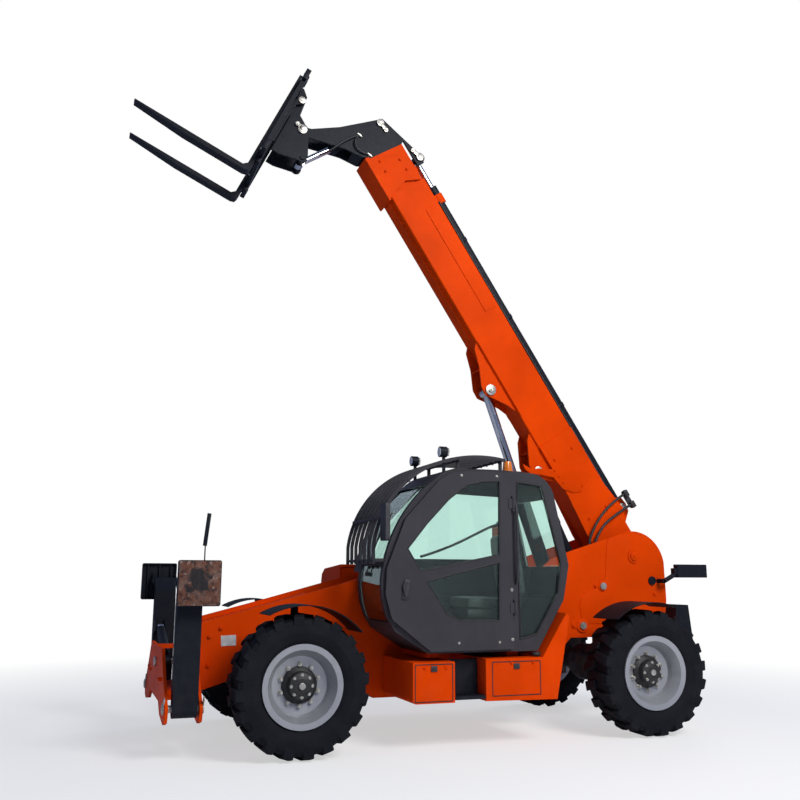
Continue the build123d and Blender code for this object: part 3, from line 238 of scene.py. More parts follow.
def seatFinish():
    finish = Finish("seatCover", (0.030, 0.031, 0.034), 0.55, Coat_Weight=0.35, Coat_Roughness=0.2, Sheen_Weight=0.3)
    x = finish.node("ShaderNodeTexWave", {"bands_direction": "X"}, {"Vector": finish.spot, "Scale": 160.0}, 1)
    z = finish.node("ShaderNodeTexWave", {"bands_direction": "Z"}, {"Vector": finish.spot, "Scale": 160.0}, 1)
    finish.feed(Base_Color=finish.mix(finish.noise(18), (0.026, 0.027, 0.030), (0.060, 0.061, 0.066)))
    finish.bump(x * z + finish.noise(9, 0.4, 0.7, 5) * 1.5, 0.0016, 0.6)
    return finish.material


def lampFinish(name, colour):
    finish = Finish(name, colour, 0.12, Coat_Weight=1.0)
    ribs = finish.node("ShaderNodeTexWave", {"bands_direction": "Z"}, {"Vector": finish.spot, "Scale": 90.0}, 1)
    finish.feed(Base_Color=finish.mix(ribs * 0.35, colour, tuple(c * 0.55 for c in colour)))
    finish.bump(ribs, 0.001, 0.7)
    return finish.material


rubber = rubberFinish()
mintGlass = glassFinish()
rodChrome = rodFinish()
boltZinc = zincFinish()
wornSole = rustFinish()
hosePlastic = plasticFinish("hoseRubber", (0.012, 0.012, 0.013), 0.5, 300)
trimPlastic = plasticFinish("trimPlastic", (0.022, 0.022, 0.025), 0.55, 380)
sealRubber = plasticFinish("sealRubber", (0.008, 0.008, 0.009), 0.6, 240)
seatCover = seatFinish()
clearLens = lampFinish("clearLens", (0.75, 0.77, 0.78))
amberLens = lampFinish("amberLens", (0.90, 0.23, 0.010))
redLens = lampFinish("redLens", (0.55, 0.010, 0.010))
frontRim = rimFinish("frontRim", 1.52)
rearRim = rimFinish("rearRim", -1.918)

nodeFinish = {
    "counterweight": blackPaint, "coupler": blackPaint, "fork_carriage": blackPaint,
    "boom_head": blackPaint, "forks": blackPaint, "cab_step": blackPaint,
    "rear_lamps": blackPaint, "roof_lights": blackPaint, "mirror": trimPlastic,
    "engine_block": axleGrey, "cab_shell": cabGrey, "door_frame": cabGrey,
    "cab_guard": cabGrey, "cab_glass": mintGlass, "door_glass": mintGlass,
    "seat": seatCover, "dashboard": trimPlastic, "extension_rod": rodChrome,
    "lift_rod": rodChrome, "level_rod": rodChrome, "tilt_rod": rodChrome,
    "frame_pins": boltZinc, "extension_barrel": blackPaint, "tilt_barrel": blackPaint,
    "front_axle": axleGrey, "rear_axle": axleGrey,
    "lift_barrel": blackPaint, "level_barrel": blackPaint,
    "stabiliser_rod_left": rodChrome, "stabiliser_rod_right": rodChrome,
    "stabiliser_leg_left": blackPaint, "stabiliser_leg_right": blackPaint,
    "stabiliser_foot_left": blackPaint, "stabiliser_foot_right": blackPaint,
    "stabiliser_barrel_left": blackPaint, "stabiliser_barrel_right": blackPaint,
}
for name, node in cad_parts.items():
    finish = nodeFinish.get(name, orangePaint)
    if name.endswith("_wheel"):
        finish = frontRim if name.startswith("front") else rearRim
    if name.endswith("_tyre"):
        finish = rubber
    if name.endswith("_knuckle"):
        finish = axleGrey
    if name.endswith("_fender"):
        finish = fenderPlastic
    node.data.materials.clear()
    node.data.materials.append(finish)
print("finishes on", len(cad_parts), "nodes")


def settle(name, bm, material, body, sharp=35.0):
    bmesh.ops.remove_doubles(bm, verts=bm.verts, dist=1e-6)
    bmesh.ops.recalc_face_normals(bm, faces=bm.faces)
    mesh = bpy.data.meshes.new(name)
    bm.to_mesh(mesh)
    bm.free()
    mesh.shade_smooth()
    mesh.set_sharp_from_angle(angle=math.radians(sharp))
    mesh.materials.append(material)
    piece = bpy.data.objects.new(name, mesh)
    scene.collection.objects.link(piece)
    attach(piece, body)
    return piece


def boomPoint(s, t, y=0.0):
    turn = math.radians(57)
    return Vector((
        -2.3 + s * math.cos(turn) - t * math.sin(turn), y,
        1.7 + s * math.sin(turn) + t * math.cos(turn),
    ))


boomTurn = Matrix.Rotation(math.radians(-57), 4, "Y")
forkTurn = Matrix.Rotation(math.radians(-25), 4, "Y")
forkPivot = boomPoint(5.722, -0.705)


def forkPoint(u, v, y=0.0):
    return forkPivot + forkTurn @ Vector((u, y, v))


def block(bm, size, centre, turn=None, bevel=0.0, segments=2):
    matrix = Matrix.Translation(centre) @ (turn or Matrix()) @ Matrix.Diagonal((*size, 1))
    made = bmesh.ops.create_cube(bm, size=1.0, matrix=matrix)["verts"]
    if bevel:
        edges = list({edge for vert in made for edge in vert.link_edges})
        bmesh.ops.bevel(bm, geom=edges, offset=bevel, segments=segments, profile=0.5,
                        affect="EDGES", material=-1, offset_type="OFFSET")
    return made


def bar(bm, start, end, radius, segments=20, tip=None, bevel=0.0):
    start = Vector(start)
    end = Vector(end)
    run = end - start
    matrix = Matrix.Translation((start + end) / 2) @ run.to_track_quat("Z", "Y").to_matrix().to_4x4()
    made = bmesh.ops.create_cone(
        bm, cap_ends=True, segments=segments, radius1=radius,
        radius2=radius if tip is None else tip, depth=run.length, matrix=matrix,
    )["verts"]
    if bevel:
        caps = {face for vert in made for face in vert.link_faces if len(face.verts) == segments}
        edges = list({edge for face in caps for edge in face.edges})
        bmesh.ops.bevel(bm, geom=edges, offset=bevel, segments=2, profile=0.5,
                        affect="EDGES", material=-1, offset_type="OFFSET")
    return made


# A hexagon head on its washer, standing on the given spot
def bolt(bm, spot, way, across=0.024):
    spot = Vector(spot)
    way = Vector(way).normalized()
    bar(bm, spot - way * 0.001, spot + way * across * 0.12, across * 0.85, 18)
    bar(bm, spot + way * across * 0.12, spot + way * across * 0.62, across * 0.58, 6)
    bar(bm, spot + way * across * 0.6, spot + way * across * 0.72, across * 0.36, 12, across * 0.3)


# A flat plate cut to an outline in a side view, with its near face moved out along Y
def plate(bm, spots, thickness, bevel=0.002):
    face = bm.faces.new([bm.verts.new(spot) for spot in spots])
    grown = bmesh.ops.extrude_face_region(bm, geom=[face])["geom"]
    moved = [item for item in grown if isinstance(item, bmesh.types.BMVert)]
    bmesh.ops.translate(bm, verts=moved, vec=(0, thickness, 0))
    edges = list({edge for vert in moved for edge in vert.link_edges if all(end in moved for end in edge.verts)})
    bmesh.ops.bevel(bm, geom=edges, offset=bevel, segments=2, profile=0.5,
                    affect="EDGES", material=-1, offset_type="OFFSET")


def tube(name, points, radius, material, body):
    curve = bpy.data.curves.new(name, "CURVE")
    curve.dimensions = "3D"
    line = curve.splines.new("NURBS")
    line.points.add(len(points) - 1)
    for point, spot in zip(line.points, points):
        point.co = (*spot, 1)
    line.order_u = 4
    line.use_endpoint_u = True
    line.resolution_u = 8
    print(name, "length", round(line.calc_length(), 2), "m")
    curve.bevel_depth = radius
    curve.bevel_resolution = 3
    curve.use_fill_caps = True
    holder = bpy.data.objects.new(name + "Path", curve)
    scene.collection.objects.link(holder)
    bpy.context.view_layer.update()
    mesh = bpy.data.meshes.new_from_object(holder.evaluated_get(bpy.context.evaluated_depsgraph_get()))
    bpy.data.objects.remove(holder)
    bm = bmesh.new()
    bm.from_mesh(mesh)
    bpy.data.meshes.remove(mesh)
    return settle(name, bm, material, body, 60)


# Camera at the height and aim of the photograph
camera = {"place": (3.379, 8.616, 1.486), "heading": 20.01, "pitch": 11.23, "roll": 0.2, "lens": 39.8}
cam = bpy.data.cameras.new("photoCamera")
cam.lens = camera["lens"]
cam.sensor_width = 36
cam.clip_end = 200
camObject = bpy.data.objects.new("photoCamera", cam)
scene.collection.objects.link(camObject)
heading = math.radians(camera["heading"])
pitch = math.radians(camera["pitch"])
aim = Vector((-math.sin(heading) * math.cos(pitch), -math.cos(heading) * math.cos(pitch), math.sin(pitch)))
camObject.matrix_world = (
    Matrix.Translation(camera["place"])
    @ aim.to_track_quat("-Z", "Y").to_matrix().to_4x4()
    @ Matrix.Rotation(math.radians(camera["roll"]), 4, "Z")
)
scene.camera = camObject
print("camera set")


# Tyres: a casing spun from its outline, with two rows of slanting lugs half a pitch apart
tyre = {
    "outline": [
        (-0.158, 0.3065), (-0.158, 0.345), (-0.180, 0.375), (-0.193, 0.412), (-0.195, 0.424),
        (-0.199, 0.428), (-0.200, 0.470), (-0.196, 0.505), (-0.190, 0.512), (-0.182, 0.538),
        (-0.150, 0.549), (-0.060, 0.553),
    ],
    "lugs": 20, "lugWidth": 0.088, "lugLength": 0.196, "slant": 0.30,
    "floor": 0.545, "top": 0.5800, "inset": -0.012,
}


def makeTyre(end, hand, axleX, side):
    bm = bmesh.new()
    half = tyre["outline"] + [(-y, r) for y, r in reversed(tyre["outline"])]
    inner = [(0.110, 0.3005), (0.070, 0.2625), (-0.070, 0.2625), (-0.110, 0.3005)]
    ring = [bm.verts.new((0, y, r)) for y, r in half + inner]
    edges = [bm.edges.new((ring[i], ring[(i + 1) % len(ring)])) for i in range(len(ring))]
    bmesh.ops.spin(bm, geom=ring + edges, cent=(0, 0, 0), axis=(0, 1, 0), dvec=(0, 0, 0),
                   angle=math.tau, steps=96, use_merge=True, use_duplicate=False)
    pitchAngle = math.tau / tyre["lugs"]
    for row in (1, -1):
        start = len(bm.verts)
        bm.verts.ensure_lookup_table()
        deep = tyre["top"] - tyre["floor"] + 0.02
        made = block(bm, (tyre["lugWidth"], tyre["lugLength"], deep),
                     (0, row * (tyre["lugLength"] / 2 + tyre["inset"]), tyre["top"] - deep / 2))
        lugEdges = list({edge for vert in made for edge in vert.link_edges})
        lugFaces = list({face for vert in made for face in vert.link_faces})
        bmesh.ops.bisect_plane(bm, geom=made + lugEdges + lugFaces,
                               plane_co=(0, row * 0.135, 0), plane_no=(0, 1, 0))
        bm.verts.ensure_lookup_table()
        lug = [bm.verts[i] for i in range(start, len(bm.verts))]
        for vert in lug:
            outward = abs(vert.co.y)
            vert.co.x *= 0.78 + 1.5 * outward
            vert.co.x += outward * tyre["slant"]
            if outward > 0.17:
                high = vert.co.z > tyre["floor"] + 0.01
                vert.co.z = 0.560 if high else 0.486
                vert.co.y = row * (0.1975 if high else 0.1985)
        edges = list({edge for vert in lug for edge in vert.link_edges})
        bmesh.ops.bevel(bm, geom=edges, offset=0.006, segments=1, profile=0.5,
                        affect="EDGES", material=-1, offset_type="OFFSET")
        bm.verts.ensure_lookup_table()
        lug = [bm.verts[i] for i in range(start, len(bm.verts))]
        phase = pitchAngle / 2 if row < 0 else 0
        geom = lug + list({e for v in lug for e in v.link_edges}) + list({f for v in lug for f in v.link_faces})
        bmesh.ops.rotate(bm, verts=lug, cent=(0, 0, 0), matrix=Matrix.Rotation(phase, 3, "Y"))
        for index in range(1, tyre["lugs"]):
            copy = bmesh.ops.duplicate(bm, geom=geom)["geom"]
            verts = [item for item in copy if isinstance(item, bmesh.types.BMVert)]
            bmesh.ops.rotate(bm, verts=verts, cent=(0, 0, 0), matrix=Matrix.Rotation(index * pitchAngle, 3, "Y"))
    if side < 0:
        bmesh.ops.rotate(bm, verts=bm.verts, cent=(0, 0, 0), matrix=Matrix.Rotation(math.pi, 3, "Z"))
    bmesh.ops.translate(bm, verts=bm.verts, vec=(axleX, side * 1.04, 0.585))
    piece = settle(f"{end}{hand}Tread", bm, rubber, f"{end.lower()}_{hand.lower()}_roll", 30)
    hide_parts(f"{end.lower()}_{hand.lower()}_tyre")


# Wheel nuts, hub plate bolts and the pale plug in the middle of the hub
hub = {"nuts": 10, "nutCircle": 0.1675, "nutFace": 0.024, "plateBolts": 8, "plateCircle": 0.088}


def makeHub(end, hand, axleX, side):
    body = f"{end.lower()}_{hand.lower()}_roll"
    centre = Vector((axleX, side * 1.04, 0.585))
    out = Vector((0, side, 0))
    bm = bmesh.new()
    for index in range(hub["nuts"]):
        angle = index * math.tau / hub["nuts"] + 0.31
        spot = centre + Vector((math.cos(angle), 0, math.sin(angle))) * hub["nutCircle"] + out * 0.026
        bar(bm, spot, spot + out * 0.006, 0.021, 16)
        bar(bm, spot + out * 0.006, spot + out * 0.028, 0.0175, 6)
        bar(bm, spot + out * 0.026, spot + out * 0.040, 0.010, 10, 0.009)
    settle(f"{end}{hand}Nuts", bm, boltZinc, body)
    bm = bmesh.new()
    for index in range(hub["plateBolts"]):
        angle = index * math.tau / hub["plateBolts"]
        spot = centre + Vector((math.cos(angle), 0, math.sin(angle))) * hub["plateCircle"] + out * 0.1245
        bolt(bm, spot, out, 0.018)
    bar(bm, centre + out * 0.133, centre + out * 0.148, 0.030, 24, 0.027, 0.003)
    settle(f"{end}{hand}HubBolts", bm, boltZinc, body)


for end, axleX in (("Front", 1.52), ("Rear", -1.918)):
    for hand, side in (("Left", 1), ("Right", -1)):
        makeTyre(end, hand, axleX, side)
        makeHub(end, hand, axleX, side)
print("wheels done")


# Cab: rubber seals round each pane, handle, rails, steering wheel and levers
def sealRing(name, points, radius, body, material=sealRubber):
    bm = bmesh.new()
    for index, point in enumerate(points):
        bar(bm, point, points[(index + 1) % len(points)], radius, 10)
        bmesh.ops.create_icosphere(bm, subdivisions=1, radius=radius * 1.02, matrix=Matrix.Translation(point))
    return settle(name, bm, material, body, 60)


def sidePoints(y, pairs):
    return [Vector((x / 1000, y, z / 1000)) for x, z in pairs]


upperPane = [(590, 1722), (401, 1952), (191, 2171), (8, 2310), (-142, 2347), (-329, 2357), (-315, 1674), (465, 1522)]
lowerPane = [(412, 1436), (-314, 1609), (-303, 1086), (88, 1091), (224, 1155)]
quarterPane = [(-530, 920), (-530, 2360), (-790, 2330), (-980, 1610), (-940, 1330), (-700, 960)]
boomPane = [(-880, 1640), (-780, 2300), (150, 2330), (560, 1900), (640, 1640)]
sealRing("upperDoorSeal", sidePoints(1.163, upperPane), 0.010, "door")
sealRing("lowerDoorSeal", sidePoints(1.163, lowerPane), 0.010, "door")
sealRing("quarterSeal", sidePoints(1.122, quarterPane), 0.010, "chassis")
sealRing("boomSideSeal", sidePoints(0.272, boomPane), 0.010, "chassis")

bm = bmesh.new()
block(bm, (0.055, 0.012, 0.175), (0.605, 1.176, 1.365), Matrix.Rotation(math.radians(-10), 4, "Y"), 0.005)
bar(bm, (0.590, 1.18, 1.420), (0.590, 1.192, 1.420), 0.018, 20, None, 0.003)
block(bm, (0.022, 0.014, 0.11), (0.602, 1.190, 1.350), Matrix.Rotation(math.radians(-10), 4, "Y"), 0.006)
settle("doorHandle", bm, trimPlastic, "door")

bm = bmesh.new()
for z in (0.92, 1.36):
    bolt(bm, (-0.430, 1.170, z), (0, 1, 0), 0.018)
for x, z in ((-0.30, 0.90), (0.10, 0.90), (-0.30, 2.40), (0.06, 2.395)):
    bolt(bm, (x, 1.170, z), (0, 1, 0), 0.014)
settle("doorBolts", bm, boltZinc, "door")

insideRail = [
    (-0.33, 1.105, 1.95), (-0.30, 1.06, 1.96), (0.05, 1.05, 1.76), (0.40, 1.06, 1.66), (0.44, 1.112, 1.655),
]
outsideRail = [
    (-0.500, 1.128, 1.42), (-0.500, 1.172, 1.44), (-0.500, 1.176, 1.8), (-0.500, 1.172, 2.16), (-0.500, 1.128, 2.18),
]
tube("insideGrabRail", insideRail, 0.012, trimPlastic, "door")
tube("outsideGrabRail", outsideRail, 0.012, trimPlastic, "chassis")

# The wheel rim is a spun round section, on the column that the dashboard carries
steer = {"centre": Vector((0.342, 0.75, 1.532)), "radius": 0.178, "thick": 0.014}
wheelTurn = Vector((-0.42, 0, 0.91)).to_track_quat("Z", "Y").to_matrix().to_4x4()
bm = bmesh.new()
sectionPlace = Matrix.Translation((steer["radius"], 0, 0)) @ Matrix.Rotation(math.pi / 2, 4, "X")
section = bmesh.ops.create_circle(bm, segments=14, radius=steer["thick"], matrix=sectionPlace)["verts"]
edges = list({edge for vert in section for edge in vert.link_edges})
bmesh.ops.spin(bm, geom=section + edges, cent=(0, 0, 0), axis=(0, 0, 1), dvec=(0, 0, 0), angle=math.tau,
               steps=48, use_merge=True, use_duplicate=False)
bar(bm, (0, 0, -0.02), (0, 0, 0.022), 0.045, 28, 0.038, 0.004)
for angle in (0.5, 2.6, 4.7):
    spoke = Vector((math.cos(angle), math.sin(angle), 0))
    bar(bm, spoke * 0.03, spoke * steer["radius"], 0.011, 12)
bar(bm, (0.08, 0.15, 0.0), (0.08, 0.15, 0.05), 0.011, 12)
bmesh.ops.create_uvsphere(bm, u_segments=18, v_segments=12, radius=0.024,
                          matrix=Matrix.Translation((0.08, 0.15, 0.06)))
bmesh.ops.transform(bm, verts=bm.verts, matrix=Matrix.Translation(steer["centre"]) @ wheelTurn)
settle("steeringWheelRim", bm, trimPlastic, "chassis", 50)

bm = bmesh.new()
bar(bm, (-0.12, 0.46, 1.24), (-0.08, 0.455, 1.46), 0.009, 12)
block(bm, (0.045, 0.05, 0.10), (-0.078, 0.455, 1.49), Matrix.Rotation(0.2, 4, "Y"), 0.014, 3)
block(bm, (0.50, 0.11, 0.20), (-0.22, 0.445, 1.14), None, 0.02, 3)
block(bm, (0.05, 0.26, 0.02), (0.30, 0.72, 0.885), Matrix.Rotation(-0.5, 4, "Y"), 0.004)
settle("leverConsole", bm, trimPlastic, "chassis")


# Seat pads: crowned forms with sewn channels, subdivided from a cut block
def makePad(name, size, centre, turn, channels, pull):
    bm = bmesh.new()
    bmesh.ops.create_cube(bm, size=1.0, matrix=Matrix.Diagonal((*size, 1)))
    bmesh.ops.subdivide_edges(bm, edges=bm.edges, cuts=11, use_grid_fill=True)
    half = Vector(size) / 2
    for vert in bm.verts:
        u = vert.co.x / half.x
        v = vert.co.y / half.y
        crown = (1 - abs(u) ** 2.6) * (1 - abs(v) ** 2.6)
        if vert.co.z > 0:
            vert.co.z += crown * pull
            for channel in channels:
                dip = math.exp(-((v - channel) / 0.055) ** 2)
                vert.co.z -= dip * pull * 0.75 * (1 - abs(u) ** 8)
            if abs(v) > 0.62:
                vert.co.z += pull * 0.55 * (1 - abs(u) ** 4) * math.sin((abs(v) - 0.62) / 0.38 * math.pi)
        corner = max(0.0, abs(u) + abs(v) - 1.45)
        vert.co.x *= 1 - 0.16 * corner
        vert.co.y *= 1 - 0.16 * corner
    bmesh.ops.smooth_vert(bm, verts=bm.verts, factor=0.45, use_axis_x=True, use_axis_y=True, use_axis_z=True)
    bmesh.ops.transform(bm, verts=bm.verts, matrix=Matrix.Translation(centre) @ turn)
    pad = settle(name, bm, seatCover, "chassis", 180)
    soft = pad.modifiers.new("soften", "SUBSURF")
    soft.levels = soft.render_levels = 1
    return pad


cushion = makePad("seatCushion", (0.46, 0.47, 0.085), (-0.29, 0.75, 1.235),
                  Matrix.Rotation(-0.04, 4, "Y"), (-0.45, 0, 0.45), 0.020)
makePad("seatBack", (0.60, 0.45, 0.085), (-0.60, 0.75, 1.585),
        Matrix.Rotation(math.radians(99), 4, "Y"), (-0.42, 0, 0.42), 0.018)
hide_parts("seat")
bm = bmesh.new()
block(bm, (0.40, 0.40, 0.10), (-0.29, 0.75, 0.90), None, 0.015)
for z in (0.965, 1.005, 1.045, 1.085):
    block(bm, (0.37, 0.37, 0.030), (-0.29, 0.75, z), None, 0.013, 3)
block(bm, (0.44, 0.44, 0.090), (-0.29, 0.75, 1.145), None, 0.018)
bar(bm, (-0.585, 0.66, 1.15), (-0.63, 0.66, 1.80), 0.014, 14)
bar(bm, (-0.585, 0.84, 1.15), (-0.63, 0.84, 1.80), 0.014, 14)
block(bm, (0.06, 0.24, 0.12), (-0.665, 0.75, 1.60), Matrix.Rotation(0.1, 4, "Y"), 0.02)
settle("seatBase", bm, trimPlastic, "chassis")
bm = bmesh.new()
block(bm, (0.050, 0.004, 0.50), (-0.555, 0.995, 1.50), Matrix.Rotation(0.14, 4, "Y"), 0.001, 1)
block(bm, (0.035, 0.022, 0.07), (-0.45, 1.0, 1.18), None, 0.006)
settle("seatBelt", bm, plasticFinish("beltWeb", (0.055, 0.050, 0.045), 0.8, 900), "chassis")

# Wiper on the windscreen, lamp lenses, beacon glass and mirror face
bm = bmesh.new()
bar(bm, (0.790, 0.70, 1.50), (0.828, 0.70, 1.50), 0.020, 18)
bar(bm, (0.822, 0.70, 1.505), (0.700, 0.78, 1.93), 0.007, 10)
bar(bm, (0.775, 0.71, 1.70), (0.620, 0.85, 2.06), 0.006, 10)
settle("wiper", bm, trimPlastic, "chassis")
bm = bmesh.new()
for y in (1.090, 0.350):
    bar(bm, (0.245, y, 2.615), (0.252, y, 2.615), 0.043, 32, 0.040, 0.002)
settle("workLampLens", bm, clearLens, "chassis")
bm = bmesh.new()
for y in (1.090, 0.350):
    for index in range(7):
        block(bm, (0.026, 0.076 - abs(index - 3) * 0.011, 0.004), (0.170, y, 2.582 + index * 0.011))
    bar(bm, (0.232, y, 2.615), (0.248, y, 2.615), 0.0505, 32, None, 0.003)
settle("workLampFins", bm, blackPaint, "chassis")
bm = bmesh.new()
bar(bm, (-0.62, 0.76, 2.500), (-0.62, 0.76, 2.602), 0.0515, 32, 0.041, 0.006)
bar(bm, (-0.62, 0.76, 2.495), (-0.62, 0.76, 2.508), 0.057, 32)
settle("beaconGlass", bm, amberLens, "chassis")
bm = bmesh.new()
block(bm, (0.006, 0.128, 0.300), (0.799, 1.225, 1.95), None, 0.003)
mirrorFace = Finish("mirrorFace", (0.8, 0.82, 0.84), 0.03, Metallic=1.0)
mirrorFace.feed(Roughness=0.02 + mirrorFace.noise(30) * 0.03)
settle("mirrorGlass", bm, mirrorFace.material, "chassis")
bm = bmesh.new()
for side in (1, -1):
    block(bm, (0.260, 0.020, 0.050), (-2.985, side * 0.500, 1.588), None, 0.006)
settle("tailLens", bm, redLens, "chassis")
print("cab done")


# Boom: collar bolts, side plates, cylinder saddles, hoses and pin retainers
def boomBlock(bm, size, s, t, y, bevel=0.0):
    return block(bm, size, boomPoint(s, t, y), boomTurn, bevel)


def ringPin(bm, spot, side, radius, plate=True):
    spot = Vector(spot)
    out = Vector((0, side, 0))
    bar(bm, spot, spot + out * 0.014, radius, 32, None, 0.003)
    bar(bm, spot + out * 0.012, spot + out * 0.020, radius * 0.35, 16)
    if plate:
        block(bm, (radius * 1.1, 0.008, radius * 0.8), spot + Vector((radius * 1.25, side * 0.004, 0)), None, 0.002)
        bolt(bm, spot + Vector((radius * 1.55, side * 0.008, 0)), out, 0.020)


bm = bmesh.new()
for side in (1, -1):
    for s, t in ((5.069, -0.095), (4.994, 0.132), (4.944, -0.096), (4.866, 0.143)):
        bolt(bm, boomPoint(s, t, side * 0.160), (0, side, 0), 0.026)
    for s, t in ((0.55, 0.16), (0.55, -0.10), (1.30, 0.16), (1.30, -0.10)):
        bolt(bm, boomPoint(s, t, side * 0.154), (0, side, 0), 0.024)
for s in (4.42, 4.46):
    for y in (0.056, -0.056):
        bolt(bm, boomPoint(s, 0.376, y), boomTurn @ Vector((0, 0, 1)), 0.016)
settle("boomBolts", bm, orangePaint, "boom")

sidePlate = [
    (1.464, -0.470), (1.380, -0.420), (0.934, 0.270), (0.915, 0.167), (0.843, -0.017), (0.890, -0.114),
    (0.984, -0.200), (1.060, -0.215), (1.150, -0.230), (1.240, -0.330), (1.330, -0.450), (1.400, -0.480),
]
bm = bmesh.new()
for side in (1, -1):
    plate(bm, [boomPoint(s, t, side * 0.154) for s, t in sidePlate], side * 0.012)
    for s, t in ((1.205, -0.175), (1.125, -0.165), (1.042, -0.160), (0.895, 0.023)):
        bolt(bm, boomPoint(s, t, side * 0.166), (0, side, 0), 0.017)
settle("boomSidePlates", bm, orangePaint, "boom")
bm = bmesh.new()
for s, t in ((1.75, 0.290), (2.9, 0.290), (3.9, 0.290)):
    boomBlock(bm, (0.040, 0.160, 0.100), s, 0.340, 0.0, 0.006)
    boomBlock(bm, (0.050, 0.020, 0.120), s, 0.350, 0.062, 0.003)
    boomBlock(bm, (0.050, 0.020, 0.120), s, 0.350, -0.062, 0.003)
settle("cylinderSaddles", bm, blackPaint, "boom")
for index, (y, t) in enumerate(((0.088, 0.315), (0.112, 0.312), (-0.088, 0.315))):
    line = [boomPoint(s, t + 0.004 * math.sin(s * 3 + index), y) for s in (0.35, 0.9, 1.6, 2.4, 3.2, 3.9, 4.4)]
    tube(f"boomTopHose{index}", line, 0.011, hosePlastic, "boom")

bm = bmesh.new()
for side in (1, -1):
    ringPin(bm, (-2.3, side * 0.398, 1.7), side, 0.046, False)
    ringPin(bm, (-1.64, side * 0.380, 0.984), side, 0.070)
    ringPin(bm, (-1.90, side * 0.380, 1.385), side, 0.055)
settle("framePinCaps", bm, orangePaint, "chassis")
bm = bmesh.new()
for side in (1, -1):
    for centre, radius in (((2.32, -0.33), 0.060), ((1.30, -0.33), 0.048)):
        spot = boomPoint(*centre, side * 0.117)
        bar(bm, spot, spot + Vector((0, side * 0.022, 0)), radius, 32, None, 0.004)
        bar(bm, spot, spot + Vector((0, side * 0.034, 0)), radius * 0.5, 24, None, 0.003)
        bolt(bm, spot + Vector((0, side * 0.034, 0)), (0, side, 0), 0.020)
    spot = boomPoint(0.42, 0.385, side * 0.08)
    bar(bm, spot, spot + Vector((0, side * 0.014, 0)), 0.036, 28, None, 0.003)
settle("boomPinCaps", bm, boltZinc, "boom")

# A bone-shaped keeper: the pin's end, a smaller bolted end and the flat between them
def keeper(bm, start, end, side):
    out = Vector((0, side * 0.008, 0))
    bar(bm, start, start + out, 0.042, 28, None, 0.002)
    bar(bm, end, end + out, 0.026, 24, None, 0.002)
    run = end - start
    turn = Matrix.Rotation(-math.atan2(run.z, run.x), 4, "Y")
    block(bm, (run.length, 0.008, 0.040), (start + end) / 2 + out / 2, turn, 0.001)
    bar(bm, start + out, start + out * 2.2, 0.022, 24, None, 0.002)
    bolt(bm, end + out, (0, side, 0), 0.020)


bm = bmesh.new()
for side in (1, -1):
    keeper(bm, boomPoint(5.46, 0.171, side * 0.132), boomPoint(5.36, 0.186, side * 0.132), side)
    keeper(bm, boomPoint(4.93, 0.385, side * 0.132), boomPoint(5.03, 0.350, side * 0.132), side)
    keeper(bm, boomPoint(5.722, -0.705, side * 0.170), boomPoint(5.792, -0.726, side * 0.170), side)
settle("headPins", bm, boltZinc, "boom_stage")

headHoses = [
    [(5.43, -0.136, 0.136), (5.40, -0.24, 0.150), (5.30, -0.26, 0.150), (5.24, -0.22, 0.140), (5.19, -0.15, 0.128)],
    [(5.43, -0.150, 0.136), (5.44, -0.30, 0.150), (5.42, -0.42, 0.150), (5.40, -0.56, 0.130), (5.42, -0.66, 0.100)],
]
for index, route in enumerate(headHoses):
    line = [boomPoint(s, t, y) for s, t, y in route]
    tube(f"headHose{index}", line, 0.010, hosePlastic, "boom_stage")
bm = bmesh.new()
for s, t, y in ((5.43, -0.136, 0.134), (5.19, -0.150, 0.126)):
    spot = boomPoint(s, t, y)
    bar(bm, spot + Vector((-0.02, 0, -0.012)), spot + Vector((0.02, 0, 0.012)), 0.014, 6)
    bar(bm, spot + Vector((-0.032, 0, -0.02)), spot + Vector((-0.018, 0, -0.011)), 0.011, 16)
settle("hoseFittings", bm, boltZinc, "boom_stage")

# Supply hoses from the boom's tail down into the frame
tailRoutes = [
    [(-2.385, 2.400), (-2.351, 2.382), (-2.200, 2.299), (-2.011, 2.123),
     (-1.915, 1.967), (-1.858, 1.860), (-1.850, 1.700)],
    [(-2.470, 2.280), (-2.438, 2.275), (-2.267, 2.176), (-2.080, 2.063),
     (-1.984, 1.938), (-1.930, 1.840), (-1.920, 1.680)],
]
for index, route in enumerate(tailRoutes):
    loop = [Vector((x, 0.17 + 0.012 * min(step, 4), z)) for step, (x, z) in enumerate(route)]
    hose = tube(f"tailHose{index}", loop, 0.014, hosePlastic, "boom")
    hose.parent = None
    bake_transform(hose)
bm = bmesh.new()
for x, z in ((-2.385, 2.395), (-2.468, 2.278)):
    block(bm, (0.075, 0.060, 0.050), (x, 0.170, z), boomTurn, 0.006)
    bar(bm, (x, 0.138, z), (x, 0.204, z), 0.016, 14)
block(bm, (0.190, 0.026, 0.060), (-2.425, 0.150, 2.335), boomTurn, 0.004)
settle("hoseClamps", bm, trimPlastic, "boom")
print("boom done")
